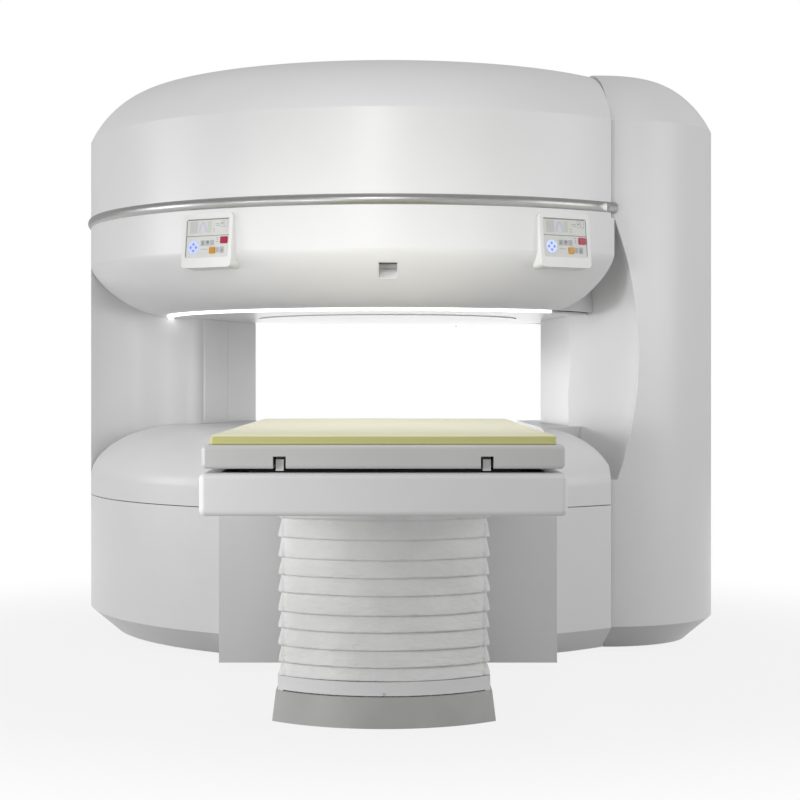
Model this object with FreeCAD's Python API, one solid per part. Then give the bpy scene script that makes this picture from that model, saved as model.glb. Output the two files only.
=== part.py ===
"""Open magnet scanner with a lifting patient table.

Millimetres. +Z is up, +X is to the right seen from the front, and -Y is the front, where the
table stands. The origin is on the floor, on the axis of the magnet.
"""
import FreeCAD, Part
import math
import os

V = FreeCAD.Vector

# Clearances
SEAT_GAP = 0.3        # between a cover and what it butts against
SEAM_GAP = 3.0        # open joint line between two covers
RUN_GAP = 0.4         # between sliding pieces
HIDDEN = 60.0         # how far a cutting body reaches past the piece it opens

# Magnet covers
DRUM_R = 1245.0       # outer radius of the round covers
COVER_T = 8.0         # wall of the moulded covers
FOOT_Z = 15.0         # lower edge of the covers
FOOT_INSET = 105.0    # how far the covers tuck in at the floor
FOOT_H = 90.0         # height of that tuck
DRUM_SEAM_Z = 565.0   # joint between the lower drum cover and the shoulders
DOME_SPRING_Z = 638.0
DOME_TOP_Z = 844.0
DOME_EDGE = 385.0     # from the wall in to the flat of the shoulders
DOME_FLAT_R = DRUM_R - DOME_EDGE
DOME_BOW = (0.45, 155.0)
POLE_Z = 1290.0       # underside of the upper pole cover
LIGHT_SHOW = 10.0     # how far the lit strip stands out below the skirt's lip
SKIRT_LIP_Z = POLE_Z + LIGHT_SHOW
SKIRT_EDGE = 285.0    # from the wall in to the lower lip of the skirt
SKIRT_LIP_R = DRUM_R - SKIRT_EDGE
SKIRT_SPRING_Z = 1500.0
SKIRT_BOW = (140.0, 16.0, 5.0, 0.72)
SKIRT_LIP_W = 30.0
SKIRT_THROAT_R = SKIRT_LIP_R - SKIRT_LIP_W
LINING_H = 46.0       # height of the skirt's inner rim
RING_Z = 1675.0       # middle of the trim ring
RING_H = 39.0
RING_PROUD = 12.0
RING_END = (24.0, 11.0)  # how far its end laps the column, and the round of that end
TOP_Z = 2218.0
BEVEL_H = 213.0       # height of the bevel under the roof
BEVEL_Z = TOP_Z - BEVEL_H
BEVEL_INSET = 295.0
BEVEL_BOW = ((0.1, 65.0), (0.42, 6.0))  # share of the inset, height off its end
ROOF_EDGE = 5.0       # flat rim between the bevel and the roof panel
ROOF_R = DRUM_R - BEVEL_INSET - ROOF_EDGE
ROOF_LEDGE = (20.0, 30.0)
LIGHT_W = 22.0        # lit strip around the upper pole
LIGHT_H = 2.0 * LIGHT_SHOW
COIL_COVER_R = 543.0
COIL_RIM = (25.0, 3.0)
COIL_PROUD = 4.0      # how far the centre panel hangs below the pole cover
LIGHT_R = SKIRT_THROAT_R - LIGHT_W - SEAT_GAP  # inner edge of the lit strip

# Channel for the table top
CHANNEL_HALF = 600.0
CHANNEL_Z = 785.0
FAIRING_OUT = 17.0    # how far the fairing stands ahead of the round covers
FAIRING_FRONT_Y = -DRUM_R - FAIRING_OUT
FAIRING_Z = 27.0

# Right column
COLUMN_OUT = 40.0     # how far its wall stands outside the round covers
COLUMN_WALL_X = DRUM_R + COLUMN_OUT
CORNER_R = 455.0
CORNER_X = COLUMN_WALL_X - CORNER_R
SEAM_OUT = 6.0        # joint of the front cover, past the middle of the corner
SEAM_X = CORNER_X + SEAM_OUT
SEAM_Y = -math.sqrt(DRUM_R**2 - SEAM_X**2)
SEAM_STEP = 17.6      # how far the front of the column stands back from that joint
CORNER_Y = SEAM_Y + SEAM_STEP + CORNER_R
SEAM_TURN = 8.3       # plan angle of that joint, degrees
REAR_IN = 45.0        # flat rear wall, in from the round covers
COLUMN_REAR_Y = DRUM_R - REAR_IN
REAR_CORNER_R = 320.0
WING_OUT = 249.0      # where skirt and shoulder end at the wall, out from the channel
WING_AZ = math.degrees(math.asin((CHANNEL_HALF + WING_OUT) / DRUM_R))
SHELF_Z = 656.0
SOFFIT_Z = 1640.0
SCOOP_MID_Z = 1130.0
SCOOP_RISE_R = 1390.0  # vertical radius of the scoop
SCOOP_OUT = (111.0, -439.0)  # its front edge from the middle of the corner
SCOOP_EDGE = (CORNER_X + SCOOP_OUT[0], CORNER_Y + SCOOP_OUT[1])
SCOOP_SAG = 62.0
SCOOP_LEAD = (25.0, -150.0)  # how the cutting profile runs on past the front edge
SCOOP_DEPTH = 400.0
SCOOP_HALF_TURN = 35.0
COLUMN_INNER_X = 300.0
STRIP_OUT = (140.0, 70.0, 106.0)  # patient side, out from the channel: front, middle, rear
STRIP_BACK = 100.0     # front edge of that side, behind the middle of the corner
STRIP_Y = (CORNER_Y + STRIP_BACK, 250.0, 650.0)
STRIP_FRONT, STRIP_MID, STRIP_REAR = [(CHANNEL_HALF + out, y) for out, y in zip(STRIP_OUT, STRIP_Y)]
RETURN_OUT = 160.0     # rear mouth, out from the channel
RETURN_REAR_X = CHANNEL_HALF + RETURN_OUT

# Left post
POST_OUT = (195.0, 10.0, 100.0)  # out from the channel: front edge, rear edge, rear wall
POST_EDGE = (-CHANNEL_HALF - POST_OUT[0], -20.0)
POST_REAR = (-CHANNEL_HALF - POST_OUT[1], 650.0)
POST_WALL_Y = -185.0
POST_EDGE_R = 55.0
POST_SAG = 70.0
POST_SEAM_Y = 303.0
POST_RETURN_X = -CHANNEL_HALF - POST_OUT[2]
POST_BACK_AZ = 110.0   # middle of the post's round back, degrees off the front
DRUM_FREE_X = -300.0   # well inside the gap, clear of the post

# Magnet inside the covers
VESSEL_ROOM = 330.0   # between the vessels and the round covers
VESSEL_R = DRUM_R - VESSEL_ROOM
VESSEL_LOBE = 20.0    # how far the vessels reach round each support post
VESSEL_WALL = 30.0
LOWER_VESSEL_Z = (130.0, 560.0)
ROOF_ROOM = 273.0     # between the upper vessel and the roof
ISO_Z = 0.5 * (CHANNEL_Z + POLE_Z)
POLE_R = 620.0
GRADIENT_R = 600.0
GRADIENT_T = 55.0
RF_R = 540.0
RF_T = 30.0
RF_UNDER_COVER = 10.0
LEFT_POST_ROOM = 265.0   # beside the iron post, both sides together
LEFT_POST_OUTER = 68.0   # on its outer side
LEFT_POST_R = 0.5 * (DRUM_R - CHANNEL_HALF - LEFT_POST_ROOM)
RIGHT_POST_ROOM = 225.0
RIGHT_POST_OUTER = 95.0
RIGHT_POST_R = 0.5 * (COLUMN_WALL_X - CHANNEL_HALF - RIGHT_POST_ROOM)
RIGHT_POST_Y = 100.0
FLOOR_PLATE_IN = 195.0
FLOOR_PLATE_R = DRUM_R - FLOOR_PLATE_IN
FLOOR_PLATE_T = 20.0
ANCHOR_R = 14.0
ANCHOR_SPAN = (1400.0, 700.0)
FOOT_AT = (450.0, 650.0)
FOOT_R = 120.0
COLD_HEAD_AT = (300.0, 350.0)
COLD_HEAD_R = 85.0
COLD_HEAD_H = 190.0
COLD_FLANGE = (1.4, 20.0)

# Centring light
PORT_W = 74.0
PORT_H = 64.0
PORT_DEPTH = 110.0     # its back, in from the round of the covers
PORT_EDGE = 12.0      # round of its lower corners
PORT_RAMP = 12.0      # top of the sloped back, above the middle
PORT_Z = 1423.0
PORT_WALL = 4.0
LENS_T = 3.0
LENS_LEN = 40.0

# Control panels
PANEL_AZ = {"left": -31.7, "right": 31.0}  # plan angle of each panel off the front
PANEL_W = 225.0
PANEL_LOW_Z = 1441.0
PANEL_TOP_Z = 1640.0
PANEL_PROUD_TOP = 5.0
PANEL_PROUD_LOW = 24.0
FACE_W = 196.0
FACE_LOW_Z = 1478.0
FACE_H = 143.0
FACE_T = 3.0
FACE_SINK = 5.5       # depth of the pocket for the face
KEY_WELL = 7.0
KEY_PROUD = 1.6
KEY_TRAVEL = 1.5
KEY_EDGE = 2.5
KEYS = {               # size of each moving key, and the middle of its lower edge on the face
    "stop": ((30.0, 23.0), (76.0, 50.5)),
    "release": ((24.0, 22.0), (25.0, 14.5)),
}
DIAL_R = 24.0
DIAL_AT = (-62.5, 38.5)
DIAL_PROUD = 0.5
HOUSING_DEPTH = 190.0
HOUSING_EDGE = 16.0
FACE_EDGE = 7.0

# Table
TABLE_X = -12.0
TABLE_GAP = 13.0       # between the table and the fairing
TABLE_REAR_Y = FAIRING_FRONT_Y - TABLE_GAP
TABLE_LEN = 1775.0
TABLE_FRONT_Y = TABLE_REAR_Y - TABLE_LEN
SIDE_ROOM = 134.0      # in the channel beside the top, mean of both sides
SLAB_W = 2.0 * (CHANNEL_HALF - SIDE_ROOM)
SLAB_Z = (802.5, 864.0)
SLAB_EDGE = 12.0
SLAB_T = 8.0
NOTCH_W = 33.0
NOTCH_H = 32.0
RAIL_IN = 200.0        # rails and glides, in from the side of the top
RAIL_X = SLAB_W / 2.0 - RAIL_IN
RAIL_W = 20.0
GLIDE_W = 90.0
GLIDE_IN = 81.0
GLIDE_X = SLAB_W / 2.0 - GLIDE_IN
GLIDE_END = (20.0, 238.0)
GLIDE_Y = (FAIRING_FRONT_Y + GLIDE_END[0], COLUMN_REAR_Y - GLIDE_END[1])
PAD_SIDE = 18.5
PAD_W = SLAB_W - 2.0 * PAD_SIDE
PAD_T = 25.0
PAD_INSET = 14.0
PAD_CROWN = 4.0
BODY_OUT = 6.5         # how far the body stands out beside the top
BODY_W = SLAB_W + 2.0 * BODY_OUT
BODY_Z = (681.0, 792.0)
BODY_EDGE = 16.0
BODY_T = 6.0
MOUTH_CLEAR = 10.0     # room round the carriage at the end of its shift
CARRIAGE_IN = 116.0
CARRIAGE_W = SLAB_W - 2.0 * CARRIAGE_IN
CARRIAGE_Z = (776.0, 797.0)
CARRIAGE_INSET = 70.0
SHIFT = 60.0           # sideways, each way
LIFT_TRAVEL = 280.0    # down from the height shown
CROSS_RAIL = 16.0
CROSS_RAIL_OUT = 40.0  # how far the cross rails reach past the carriage
FRAME_BEAM = (50.0, 46.0)
FRAME_OUT = 30.0       # beam axis past the side of the carriage
SHOE = (100.0, 50.0)
SHOE_IN = 80.0
SHOE_RISE = 3.0        # its underside above the foot of the rail
WHEEL_R = 30.0
WHEEL_HALF = 19.0
WHEEL_SLOT = 3.0
WHEEL_AHEAD = 285.0    # drive wheel, ahead of the rear end of the top
WHEEL_Y = TABLE_REAR_Y - WHEEL_AHEAD
AXLE_R = 8.0
AXLE_FIT = 0.05
EAR_T = 16.0
EAR_HALF = 16.0
EAR_DROP = 14.0
RAIL_END = 20.0
RUNNER = (24.0, 90.0, 7.6)
RUNNER_AT = (60.0, 240.0, -260.0)  # from the front end of the top, or ahead of its rear end
PAD_DRAW = 3.0         # how far the sides of the mattress draw in at their middle

# Table foot
BASE_AHEAD = 125.0     # rear of the foot, ahead of the rear end of the table
BASE_LEN = 940.0
BASE_REAR_Y = TABLE_REAR_Y - BASE_AHEAD
BASE_FRONT_Y = BASE_REAR_Y - BASE_LEN
BASE_IN = 134.0        # side of the foot, in from the side of the body
BASE_W = BODY_W - 2.0 * BASE_IN
BASE_SLOPE = 11.0      # how far the foot draws in at its top
BASE_H = 90.0
BASE_T = 6.0
FRONT_RISE = 130.0    # how far the bowed front stands ahead of its corners
BELLOWS_IN = (14.0, 22.0, 30.0)  # in from the foot: sides, front, rear
BELLOWS_W = BASE_W - 2.0 * BELLOWS_IN[0]
BELLOWS_FOLD = 12.0
BELLOWS_T = 3.0
BELLOWS_PLEATS = 10
BELLOWS_FRONT_Y = BASE_FRONT_Y + BELLOWS_IN[1]
BELLOWS_REAR_Y = BASE_REAR_Y - BELLOWS_IN[2]
CLAMP_H = 44.0
CLAMP_IN = 2.0
COLUMN_W = 220.0
COLUMN_D = 180.0
COLUMN_WALL = 10.0
LIFT_COLUMN_IN = (260.0, 290.0)  # columns, in from the front and the rear of the foot
LIFT_COLUMN_Y = (BASE_FRONT_Y + LIFT_COLUMN_IN[0], BASE_REAR_Y - LIFT_COLUMN_IN[1])
ANCHOR_PLATE = (480.0, 640.0, 12.0)
COLUMN_LAP = 72.0      # what stays inside the guides at full height
COLUMN_FLOOR = 8.0       # left under the inner columns at the lowest height
INNER_COLUMN_LOW = ANCHOR_PLATE[2] + LIFT_TRAVEL + COLUMN_FLOOR
OUTER_COLUMN_TOP = INNER_COLUMN_LOW + COLUMN_LAP
ACTUATOR_R = 38.0
ACTUATOR_FLOOR = 5.0
ROD_R = 20.0
ROD_FIT = 0.1
TABLE_ANCHOR_SPAN = (400.0, 560.0)


def polar(radius, azimuth):
    """Plan point at an angle from the front, positive to the right."""
    turn = math.radians(azimuth)
    return (radius * math.sin(turn), -radius * math.cos(turn))


def plan_edges(steps):
    """Closed plan outline: each step is a point, or (via, end) for an arc."""
    start = steps[0]
    here = start
    edges = []
    for step in list(steps[1:]) + [start]:
        if isinstance(step[0], tuple):
            via, end = step
            edges.append(Part.Arc(V(*here, 0), V(*via, 0), V(*end, 0)).toShape())
            here = end
            continue
        if math.dist(here, step) > 1e-6:
            edges.append(Part.LineSegment(V(*here, 0), V(*step, 0)).toShape())
        here = step
    return edges


def prism(steps, low, high):
    face = Part.Face(Part.Wire(plan_edges(steps)))
    face.translate(V(0, 0, low))
    return face.extrude(V(0, 0, high - low))


def box(x, y, z):
    return Part.makeBox(x[1] - x[0], y[1] - y[0], z[1] - z[0], V(x[0], y[0], z[0]))


def disc(radius, low, high, at=(0.0, 0.0)):
    return Part.makeCylinder(radius, high - low, V(at[0], at[1], low))


def section(steps):
    """Closed face in the XZ plane: points, or (control, control, end) for a curve."""
    start = steps[0]
    here = start
    edges = []
    for step in list(steps[1:]) + [start]:
        if isinstance(step[0], tuple):
            curve = Part.BezierCurve()
            curve.setPoles([V(p[0], 0, p[1]) for p in (here,) + step])
            edges.append(curve.toShape())
            here = step[-1]
            continue
        if math.dist(here, step) > 1e-6:
            edges.append(Part.LineSegment(V(here[0], 0, here[1]), V(step[0], 0, step[1])).toShape())
        here = step
    return Part.Face(Part.Wire(edges))


def spun(face, turn=360.0):
    return face.revolve(V(0, 0, 0), V(0, 0, 1), turn)


def wall_section(wall, wall_t=0.0, low=FOOT_Z):
    """Half section of the housing: a tucked foot, a plain wall and the bevel to the roof."""
    w = wall - wall_t
    top = TOP_Z - wall_t
    inset = BEVEL_INSET
    (first, rise), (second, drop) = BEVEL_BOW
    return section([
        (0.0, low),
        (w - FOOT_INSET, low),
        (w - FOOT_INSET, FOOT_Z),
        (w, FOOT_Z + FOOT_H),
        (w, BEVEL_Z),
        ((w - first * inset, BEVEL_Z + rise), (w - second * inset, top - drop), (w - inset, top)),
        (0.0, top),
    ])


def drum_body(wall_t=0.0, low=FOOT_Z):
    return spun(wall_section(DRUM_R, wall_t, low))


def dome_body(wall_t=0.0, low=DRUM_SEAM_Z):
    r = DRUM_R - wall_t
    top = DOME_TOP_Z - wall_t
    rise = top - DOME_SPRING_Z
    return spun(section([
        (0.0, low),
        (r, low),
        (r, DOME_SPRING_Z),
        ((r, DOME_SPRING_Z + DOME_BOW[0] * rise), (r - DOME_BOW[1], top), (DOME_FLAT_R - wall_t, top)),
        (0.0, top),
    ]))


def skirt_body(wall_t=0.0, high=RING_Z):
    r = DRUM_R - wall_t
    lip = SKIRT_LIP_Z + wall_t
    drop = SKIRT_SPRING_Z - lip
    out, up, back, share = SKIRT_BOW
    return spun(section([
        (0.0, high),
        (0.0, lip),
        (SKIRT_LIP_R, lip),
        ((SKIRT_LIP_R + out, lip + up), (r - back, lip + share * drop), (r, SKIRT_SPRING_Z)),
        (r, high),
    ]))


def column_ground(gap=0.0):
    """Plan area that belongs to the right column, grown towards the drum by gap."""
    turn = math.radians(SEAM_TURN)
    rear_x = math.sqrt(DRUM_R**2 - COLUMN_REAR_Y**2)
    far = 2.0 * DRUM_R
    reach = DRUM_R
    return prism([
        (SEAM_X - gap + reach * math.sin(turn), SEAM_Y - reach * math.cos(turn)),
        (SEAM_X - gap + SEAM_Y * math.tan(turn), 0.0),
        (rear_x - gap, 0.0),
        (rear_x - gap, far),
        (far, far),
        (far, SEAM_Y - reach * math.cos(turn)),
    ], -HIDDEN, TOP_Z + HIDDEN)


def wing_ground(gap=0.0):
    """Plan area behind the end faces of the skirt and the right shoulder."""
    far = 2.0 * DRUM_R
    rear_x = math.sqrt(DRUM_R**2 - COLUMN_REAR_Y**2)
    edge = polar(far, WING_AZ)
    return prism([
        (edge[0] - gap, edge[1]),
        (-gap, 0.0),
        (rear_x - gap, 0.0),
        (rear_x - gap, far),
        (far, far),
        (far, edge[1]),
    ], -HIDDEN, TOP_Z + HIDDEN)


def column_body(wall_t=0.0, low=FOOT_Z):
    """Full height block of the column, from its wall in to the magnet."""
    rear_cx = COLUMN_WALL_X - REAR_CORNER_R
    rear_cy = COLUMN_REAR_Y - REAR_CORNER_R
    inner_x = COLUMN_INNER_X - (HIDDEN if wall_t else 0.0)
    top = TOP_Z - wall_t
    front = wall_section(CORNER_R, wall_t, low)
    front.rotate(V(0, 0, 0), V(0, 0, 1), -90.0)
    corner = front.revolve(V(0, 0, 0), V(0, 0, 1), 90.0)
    corner.translate(V(CORNER_X, CORNER_Y, 0))
    front_slab = front.extrude(V(inner_x - CORNER_X, 0, 0))
    front_slab.translate(V(CORNER_X, CORNER_Y, 0))
    side = wall_section(CORNER_R, wall_t, low).extrude(V(0, rear_cy - CORNER_Y, 0))
    side.translate(V(CORNER_X, CORNER_Y, 0))
    rear = wall_section(REAR_CORNER_R, wall_t, low)
    rear_corner = rear.revolve(V(0, 0, 0), V(0, 0, 1), 90.0)
    rear_corner.translate(V(rear_cx, rear_cy, 0))
    rear.rotate(V(0, 0, 0), V(0, 0, 1), 90.0)
    rear_slab = rear.extrude(V(inner_x - rear_cx, 0, 0))
    rear_slab.translate(V(rear_cx, rear_cy, 0))
    core = box((inner_x, CORNER_X), (CORNER_Y, rear_cy), (low, top))
    return corner.multiFuse([front_slab, side, rear_corner, rear_slab, core]).removeSplitter()


def arc_via(a, b, sag):
    """Middle point of an arc from a to b that bows to the right of the way from a to b."""
    length = math.dist(a, b)
    mid = ((a[0] + b[0]) / 2.0, (a[1] + b[1]) / 2.0)
    normal = ((b[1] - a[1]) / length, (a[0] - b[0]) / length)
    return (mid[0] + sag * normal[0], mid[1] + sag * normal[1])


def scoop_body(grow=0.0):
    """Hollow of the column's front, swept in plan and again in height."""
    inner = (STRIP_FRONT[0] + grow, STRIP_FRONT[1])
    edge = (SCOOP_EDGE[0] + grow, SCOOP_EDGE[1])
    via = arc_via(edge, inner, SCOOP_SAG)
    ahead = (edge[0] + SCOOP_LEAD[0], edge[1] + SCOOP_LEAD[1])
    axis_x = SCOOP_EDGE[0] - SCOOP_RISE_R
    back_x = axis_x + SCOOP_DEPTH
    face = Part.Face(Part.Wire(plan_edges([
        inner, (back_x, inner[1]), (back_x, ahead[1]), ahead, edge, (via, inner),
    ])))
    face.translate(V(0, 0, SCOOP_MID_Z))
    pivot = V(axis_x, 0, SCOOP_MID_Z)
    face.rotate(pivot, V(0, 1, 0), -SCOOP_HALF_TURN)
    swept = face.revolve(pivot, V(0, 1, 0), 2.0 * SCOOP_HALF_TURN)
    far = 2.0 * DRUM_R
    return swept.common(box((-far, far), (-far, inner[1]), (SHELF_Z - grow, SOFFIT_Z + grow)))


def strip_ground(low, high):
    """Patient side of the right inner cover."""
    return prism([
        STRIP_FRONT, STRIP_MID, STRIP_REAR, (0.0, STRIP_REAR[1]), (0.0, STRIP_FRONT[1]),
    ], low, high)


def return_ground(grow=0.0):
    """Rear mouth of the patient gap, right half."""
    low = CHANNEL_Z - COVER_T - grow
    high = POLE_Z + grow
    return prism([
        (STRIP_REAR[0] + grow, STRIP_REAR[1]),
        (RETURN_REAR_X + grow, COLUMN_REAR_Y + HIDDEN),
        (0.0, COLUMN_REAR_Y + HIDDEN),
        (0.0, STRIP_REAR[1]),
    ], low, high)


def right_column_cover():
    low = CHANNEL_Z - COVER_T
    outer = column_body().cut(scoop_body()).cut(strip_ground(low, POLE_Z)).cut(return_ground())
    inner = column_body(COVER_T, -HIDDEN).cut(scoop_body(COVER_T)).cut(return_ground(COVER_T))
    far = 2.0 * DRUM_R
    ledge = wing_ground().common(box((0.0, far), (-far, 0.0), (SHELF_Z - HIDDEN, SOFFIT_Z + COVER_T)))
    shell = outer.cut(inner).common(column_ground().fuse(ledge))
    magnet_room = box((0.0, STRIP_MID[0] + HIDDEN), (-CHANNEL_HALF, CHANNEL_HALF), (-HIDDEN, TOP_Z - HIDDEN))
    tray_room = box((0.0, CHANNEL_HALF + SEAM_GAP + SEAT_GAP), (0.0, far), (low - 2.0 * COVER_T, DOME_TOP_Z))
    behind = box((0.0, far), (0.0, far), (0.0, TOP_Z))
    pole_room = disc(LIGHT_R + SEAT_GAP, POLE_Z - HIDDEN, POLE_Z + HIDDEN).common(behind)
    roof_room = disc(ROOF_R + SEAM_GAP, TOP_Z - HIDDEN, TOP_Z + HIDDEN)
    ahead = box((0.0, far), (-far, STRIP_FRONT[1]), (0.0, TOP_Z))
    vessel_room = disc(SKIRT_THROAT_R, POLE_Z + 2.0 * COVER_T, SOFFIT_Z + HIDDEN).common(ahead)
    for room in (vessel_room, magnet_room, tray_room, pole_room, roof_room):
        shell = shell.cut(room)
    return shell


def right_inner_cover():
    low = DOME_TOP_Z + SEAT_GAP
    high = POLE_Z - SEAT_GAP
    t = COVER_T
    return prism([
        STRIP_FRONT, STRIP_MID, STRIP_REAR,
        (STRIP_REAR[0] + t, STRIP_REAR[1]), (STRIP_MID[0] + t, STRIP_MID[1]),
        (STRIP_FRONT[0] + t, STRIP_FRONT[1]),
    ], low, high)


def slab_of(shape, low, high):
    far = 2.0 * DRUM_R
    return shape.common(box((-far, far), (-far, far), (low, high)))


def lower_drum_cover():
    shell = drum_body().cut(drum_body(COVER_T, -HIDDEN))
    return slab_of(shell, 0.0, DRUM_SEAM_Z - SEAM_GAP).cut(column_ground(SEAM_GAP))


def dome_shell():
    return dome_body().cut(dome_body(COVER_T, DRUM_SEAM_Z - HIDDEN))


def support_spots():
    """Axis and radius of the iron posts."""
    left = polar(DRUM_R - LEFT_POST_OUTER - LEFT_POST_R, -POST_BACK_AZ)
    right = (COLUMN_WALL_X - RIGHT_POST_OUTER - RIGHT_POST_R, RIGHT_POST_Y)
    return {"left": (left, LEFT_POST_R), "right": (right, RIGHT_POST_R)}


def around_posts(cover):
    """Cover with room for the two support posts."""
    for at, radius in support_spots().values():
        cover = cover.cut(disc(radius + SEAT_GAP, 0.0, TOP_Z, at))
    return cover


def left_shoulder_cover():
    far = 2.0 * DRUM_R
    side = box((-far, -CHANNEL_HALF - SEAM_GAP), (-far, far), (0.0, TOP_Z))
    return around_posts(dome_shell()).common(side)


def right_shoulder_cover():
    far = 2.0 * DRUM_R
    wing = dome_shell().cut(wing_ground(SEAM_GAP)).cut(column_ground(SEAM_GAP))
    end = dome_body().cut(wing_ground(SEAM_GAP)).common(wing_ground(SEAM_GAP + COVER_T))
    end = end.cut(column_ground(SEAM_GAP))
    side = box((CHANNEL_HALF + SEAM_GAP, far), (-far, 0.0), (0.0, TOP_Z))
    return wing.common(side).fuse(end.common(side)).removeSplitter()


def rear_sill_cover():
    far = 2.0 * DRUM_R
    room = box((-CHANNEL_HALF, CHANNEL_HALF), (0.0, far), (0.0, CHANNEL_Z - COVER_T - SEAT_GAP))
    return dome_shell().common(room).cut(column_ground(SEAM_GAP))


def channel_tray():
    far = 2.0 * DRUM_R
    half = CHANNEL_HALF + SEAM_GAP - SEAT_GAP
    t = COVER_T
    body = dome_body().fuse(column_body(t).common(box((0.0, far), (0.0, far), (0.0, TOP_Z))))
    whole = box((-half, half), (-far, far), (CHANNEL_Z - t, DOME_TOP_Z))
    room = box((-half + t, half - t), (-far, far), (CHANNEL_Z, TOP_Z))
    tray = whole.cut(room).common(body).cut(wing_post_room())
    apron = box((-CHANNEL_HALF, CHANNEL_HALF), (FAIRING_FRONT_Y, 0.0), (CHANNEL_Z - t, CHANNEL_Z))
    return tray.fuse(apron).removeSplitter()


def wing_post_room():
    """Behind the right post the tray has no side wall, so its floor runs on to the column."""
    half = CHANNEL_HALF + SEAM_GAP
    y = (STRIP_REAR[1], COLUMN_REAR_Y + HIDDEN)
    return box((half - 2.0 * COVER_T, half), y, (CHANNEL_Z, TOP_Z))


def hub_wall(radius, low, high):
    """Upright wall from the end of a wing round to the scoop."""
    ring = disc(radius, low, high).cut(disc(radius - COVER_T, low, high))
    front = box((0.0, 2.0 * DRUM_R), (-2.0 * DRUM_R, STRIP_FRONT[1]), (low, high))
    return ring.common(front).common(wing_ground()).common(scoop_body())


def right_floor_cover():
    half = CHANNEL_HALF + SEAM_GAP
    far = 2.0 * DRUM_R
    wing = math.radians(WING_AZ)
    hub_r = half / math.sin(wing)
    low = DOME_TOP_Z - COVER_T
    side = box((half, far), (-far, far), (0.0, TOP_Z))
    front = box((half, far), (-half / math.tan(wing), STRIP_FRONT[1]), (0.0, TOP_Z))
    patient_side = strip_ground(low, DOME_TOP_Z).common(side)
    ahead = disc(hub_r, low, DOME_TOP_Z).common(scoop_body()).common(front)
    plate = patient_side.fuse(ahead.common(wing_ground()))
    wall = hub_wall(hub_r, SHELF_Z + SEAT_GAP, DOME_TOP_Z)
    return plate.fuse(wall.common(side)).removeSplitter()


def fairing_room(wall_t=0.0):
    half = CHANNEL_HALF - wall_t
    low = FAIRING_Z if wall_t == 0.0 else -HIDDEN
    high = CHANNEL_Z - COVER_T - SEAT_GAP + (HIDDEN if wall_t else 0.0)
    return box((-half, half), (FAIRING_FRONT_Y + wall_t, -CHANNEL_HALF), (low, high))


def front_fairing():
    shell = fairing_room().cut(fairing_room(COVER_T))
    low_drum = slab_of(drum_body(-SEAT_GAP, -HIDDEN), -HIDDEN, DRUM_SEAM_Z)
    return shell.cut(low_drum).cut(dome_body(-SEAT_GAP, DRUM_SEAM_Z - HIDDEN))


def roof_lip():
    """Rebate that the roof panel rests on."""
    outer_r = ROOF_R + ROOF_LEDGE[0]
    high = TOP_Z - COVER_T - SEAT_GAP
    low = high - COVER_T
    ledge = disc(outer_r, low, high).cut(disc(ROOF_R - ROOF_LEDGE[1], 0.0, TOP_Z))
    root = disc(outer_r, high, high + 2.0 * SEAT_GAP).cut(disc(ROOF_R + SEAM_GAP, 0.0, TOP_Z))
    return ledge.fuse(root)


def upper_drum_cover():
    shell = drum_body().cut(drum_body(COVER_T))
    shell = slab_of(shell, RING_Z + SEAT_GAP, TOP_Z + HIDDEN)
    shell = shell.cut(disc(ROOF_R + SEAM_GAP, TOP_Z - HIDDEN, TOP_Z + HIDDEN))
    return shell.fuse(roof_lip()).removeSplitter().cut(column_ground(SEAM_GAP))


def roof_cover():
    return disc(ROOF_R, TOP_Z - COVER_T, TOP_Z)


def trim_ring():
    """Half round strip over the joint between the drum cover and the skirt."""
    inner_r = DRUM_R + SEAT_GAP
    half = RING_H / 2.0
    low = V(inner_r, 0, RING_Z - half)
    high = V(inner_r, 0, RING_Z + half)
    bow = V(inner_r + RING_PROUD, 0, RING_Z)
    edges = [Part.LineSegment(low, high).toShape(), Part.Arc(high, bow, low).toShape()]
    ring = spun(Part.Face(Part.Wire(edges)))
    lap = ring.cut(column_body(-SEAT_GAP)).common(ring_lap())
    return ring.cut(column_ground(SEAT_GAP)).fuse(lap).removeSplitter()


def ring_lap():
    """Block with two rounded corners that bounds the end of the trim ring over the column."""
    over, round_r = RING_END
    x = (SEAM_X - over, SEAM_X + over)
    half = RING_H / 2.0
    block = box(x, (SEAM_Y - over, SEAM_Y + over), (RING_Z - half, RING_Z + half))
    corners = [e for e in block.Edges if abs(e.CenterOfMass.x - x[1]) < 1e-6
               and abs(e.tangentAt(e.FirstParameter).y) > 0.99]
    return block.makeFillet(round_r, corners)


def skirt_cover():
    far = 2.0 * DRUM_R
    t = COVER_T
    throat = disc(SKIRT_THROAT_R, 0.0, TOP_Z)
    shell = skirt_body().cut(skirt_body(t, RING_Z + HIDDEN)).cut(throat)
    lining = disc(SKIRT_THROAT_R + t, SKIRT_LIP_Z, SKIRT_LIP_Z + LINING_H).cut(throat)
    wing = shell.fuse(lining).cut(wing_ground(SEAM_GAP))
    end = skirt_body().cut(throat).cut(wing_ground(SEAM_GAP)).common(wing_ground(SEAM_GAP + t))
    end = end.common(box((0.0, far), (-far, STRIP_FRONT[1]), (0.0, SOFFIT_Z)))
    hub = hub_wall(SKIRT_THROAT_R + t, SKIRT_LIP_Z, SOFFIT_Z - SEAT_GAP)
    cover = wing.multiFuse([end, hub, hub_bridge()]).removeSplitter()
    beside = column_ground(SEAM_GAP).common(upper_wing_room()).cut(scoop_body(-SEAM_GAP))
    cover = cover.cut(port_room(SEAT_GAP)).cut(beside)
    return around_posts(cover)


def upper_wing_room():
    """Outer rim beside the column; there the skirt runs on only into the scoop."""
    far = 2.0 * DRUM_R
    rim = disc(far, 0.0, TOP_Z).cut(disc(DRUM_R - 4.0 * COVER_T, 0.0, TOP_Z))
    return rim.common(box((0.0, far), (-far, 0.0), (0.0, TOP_Z)))


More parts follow.
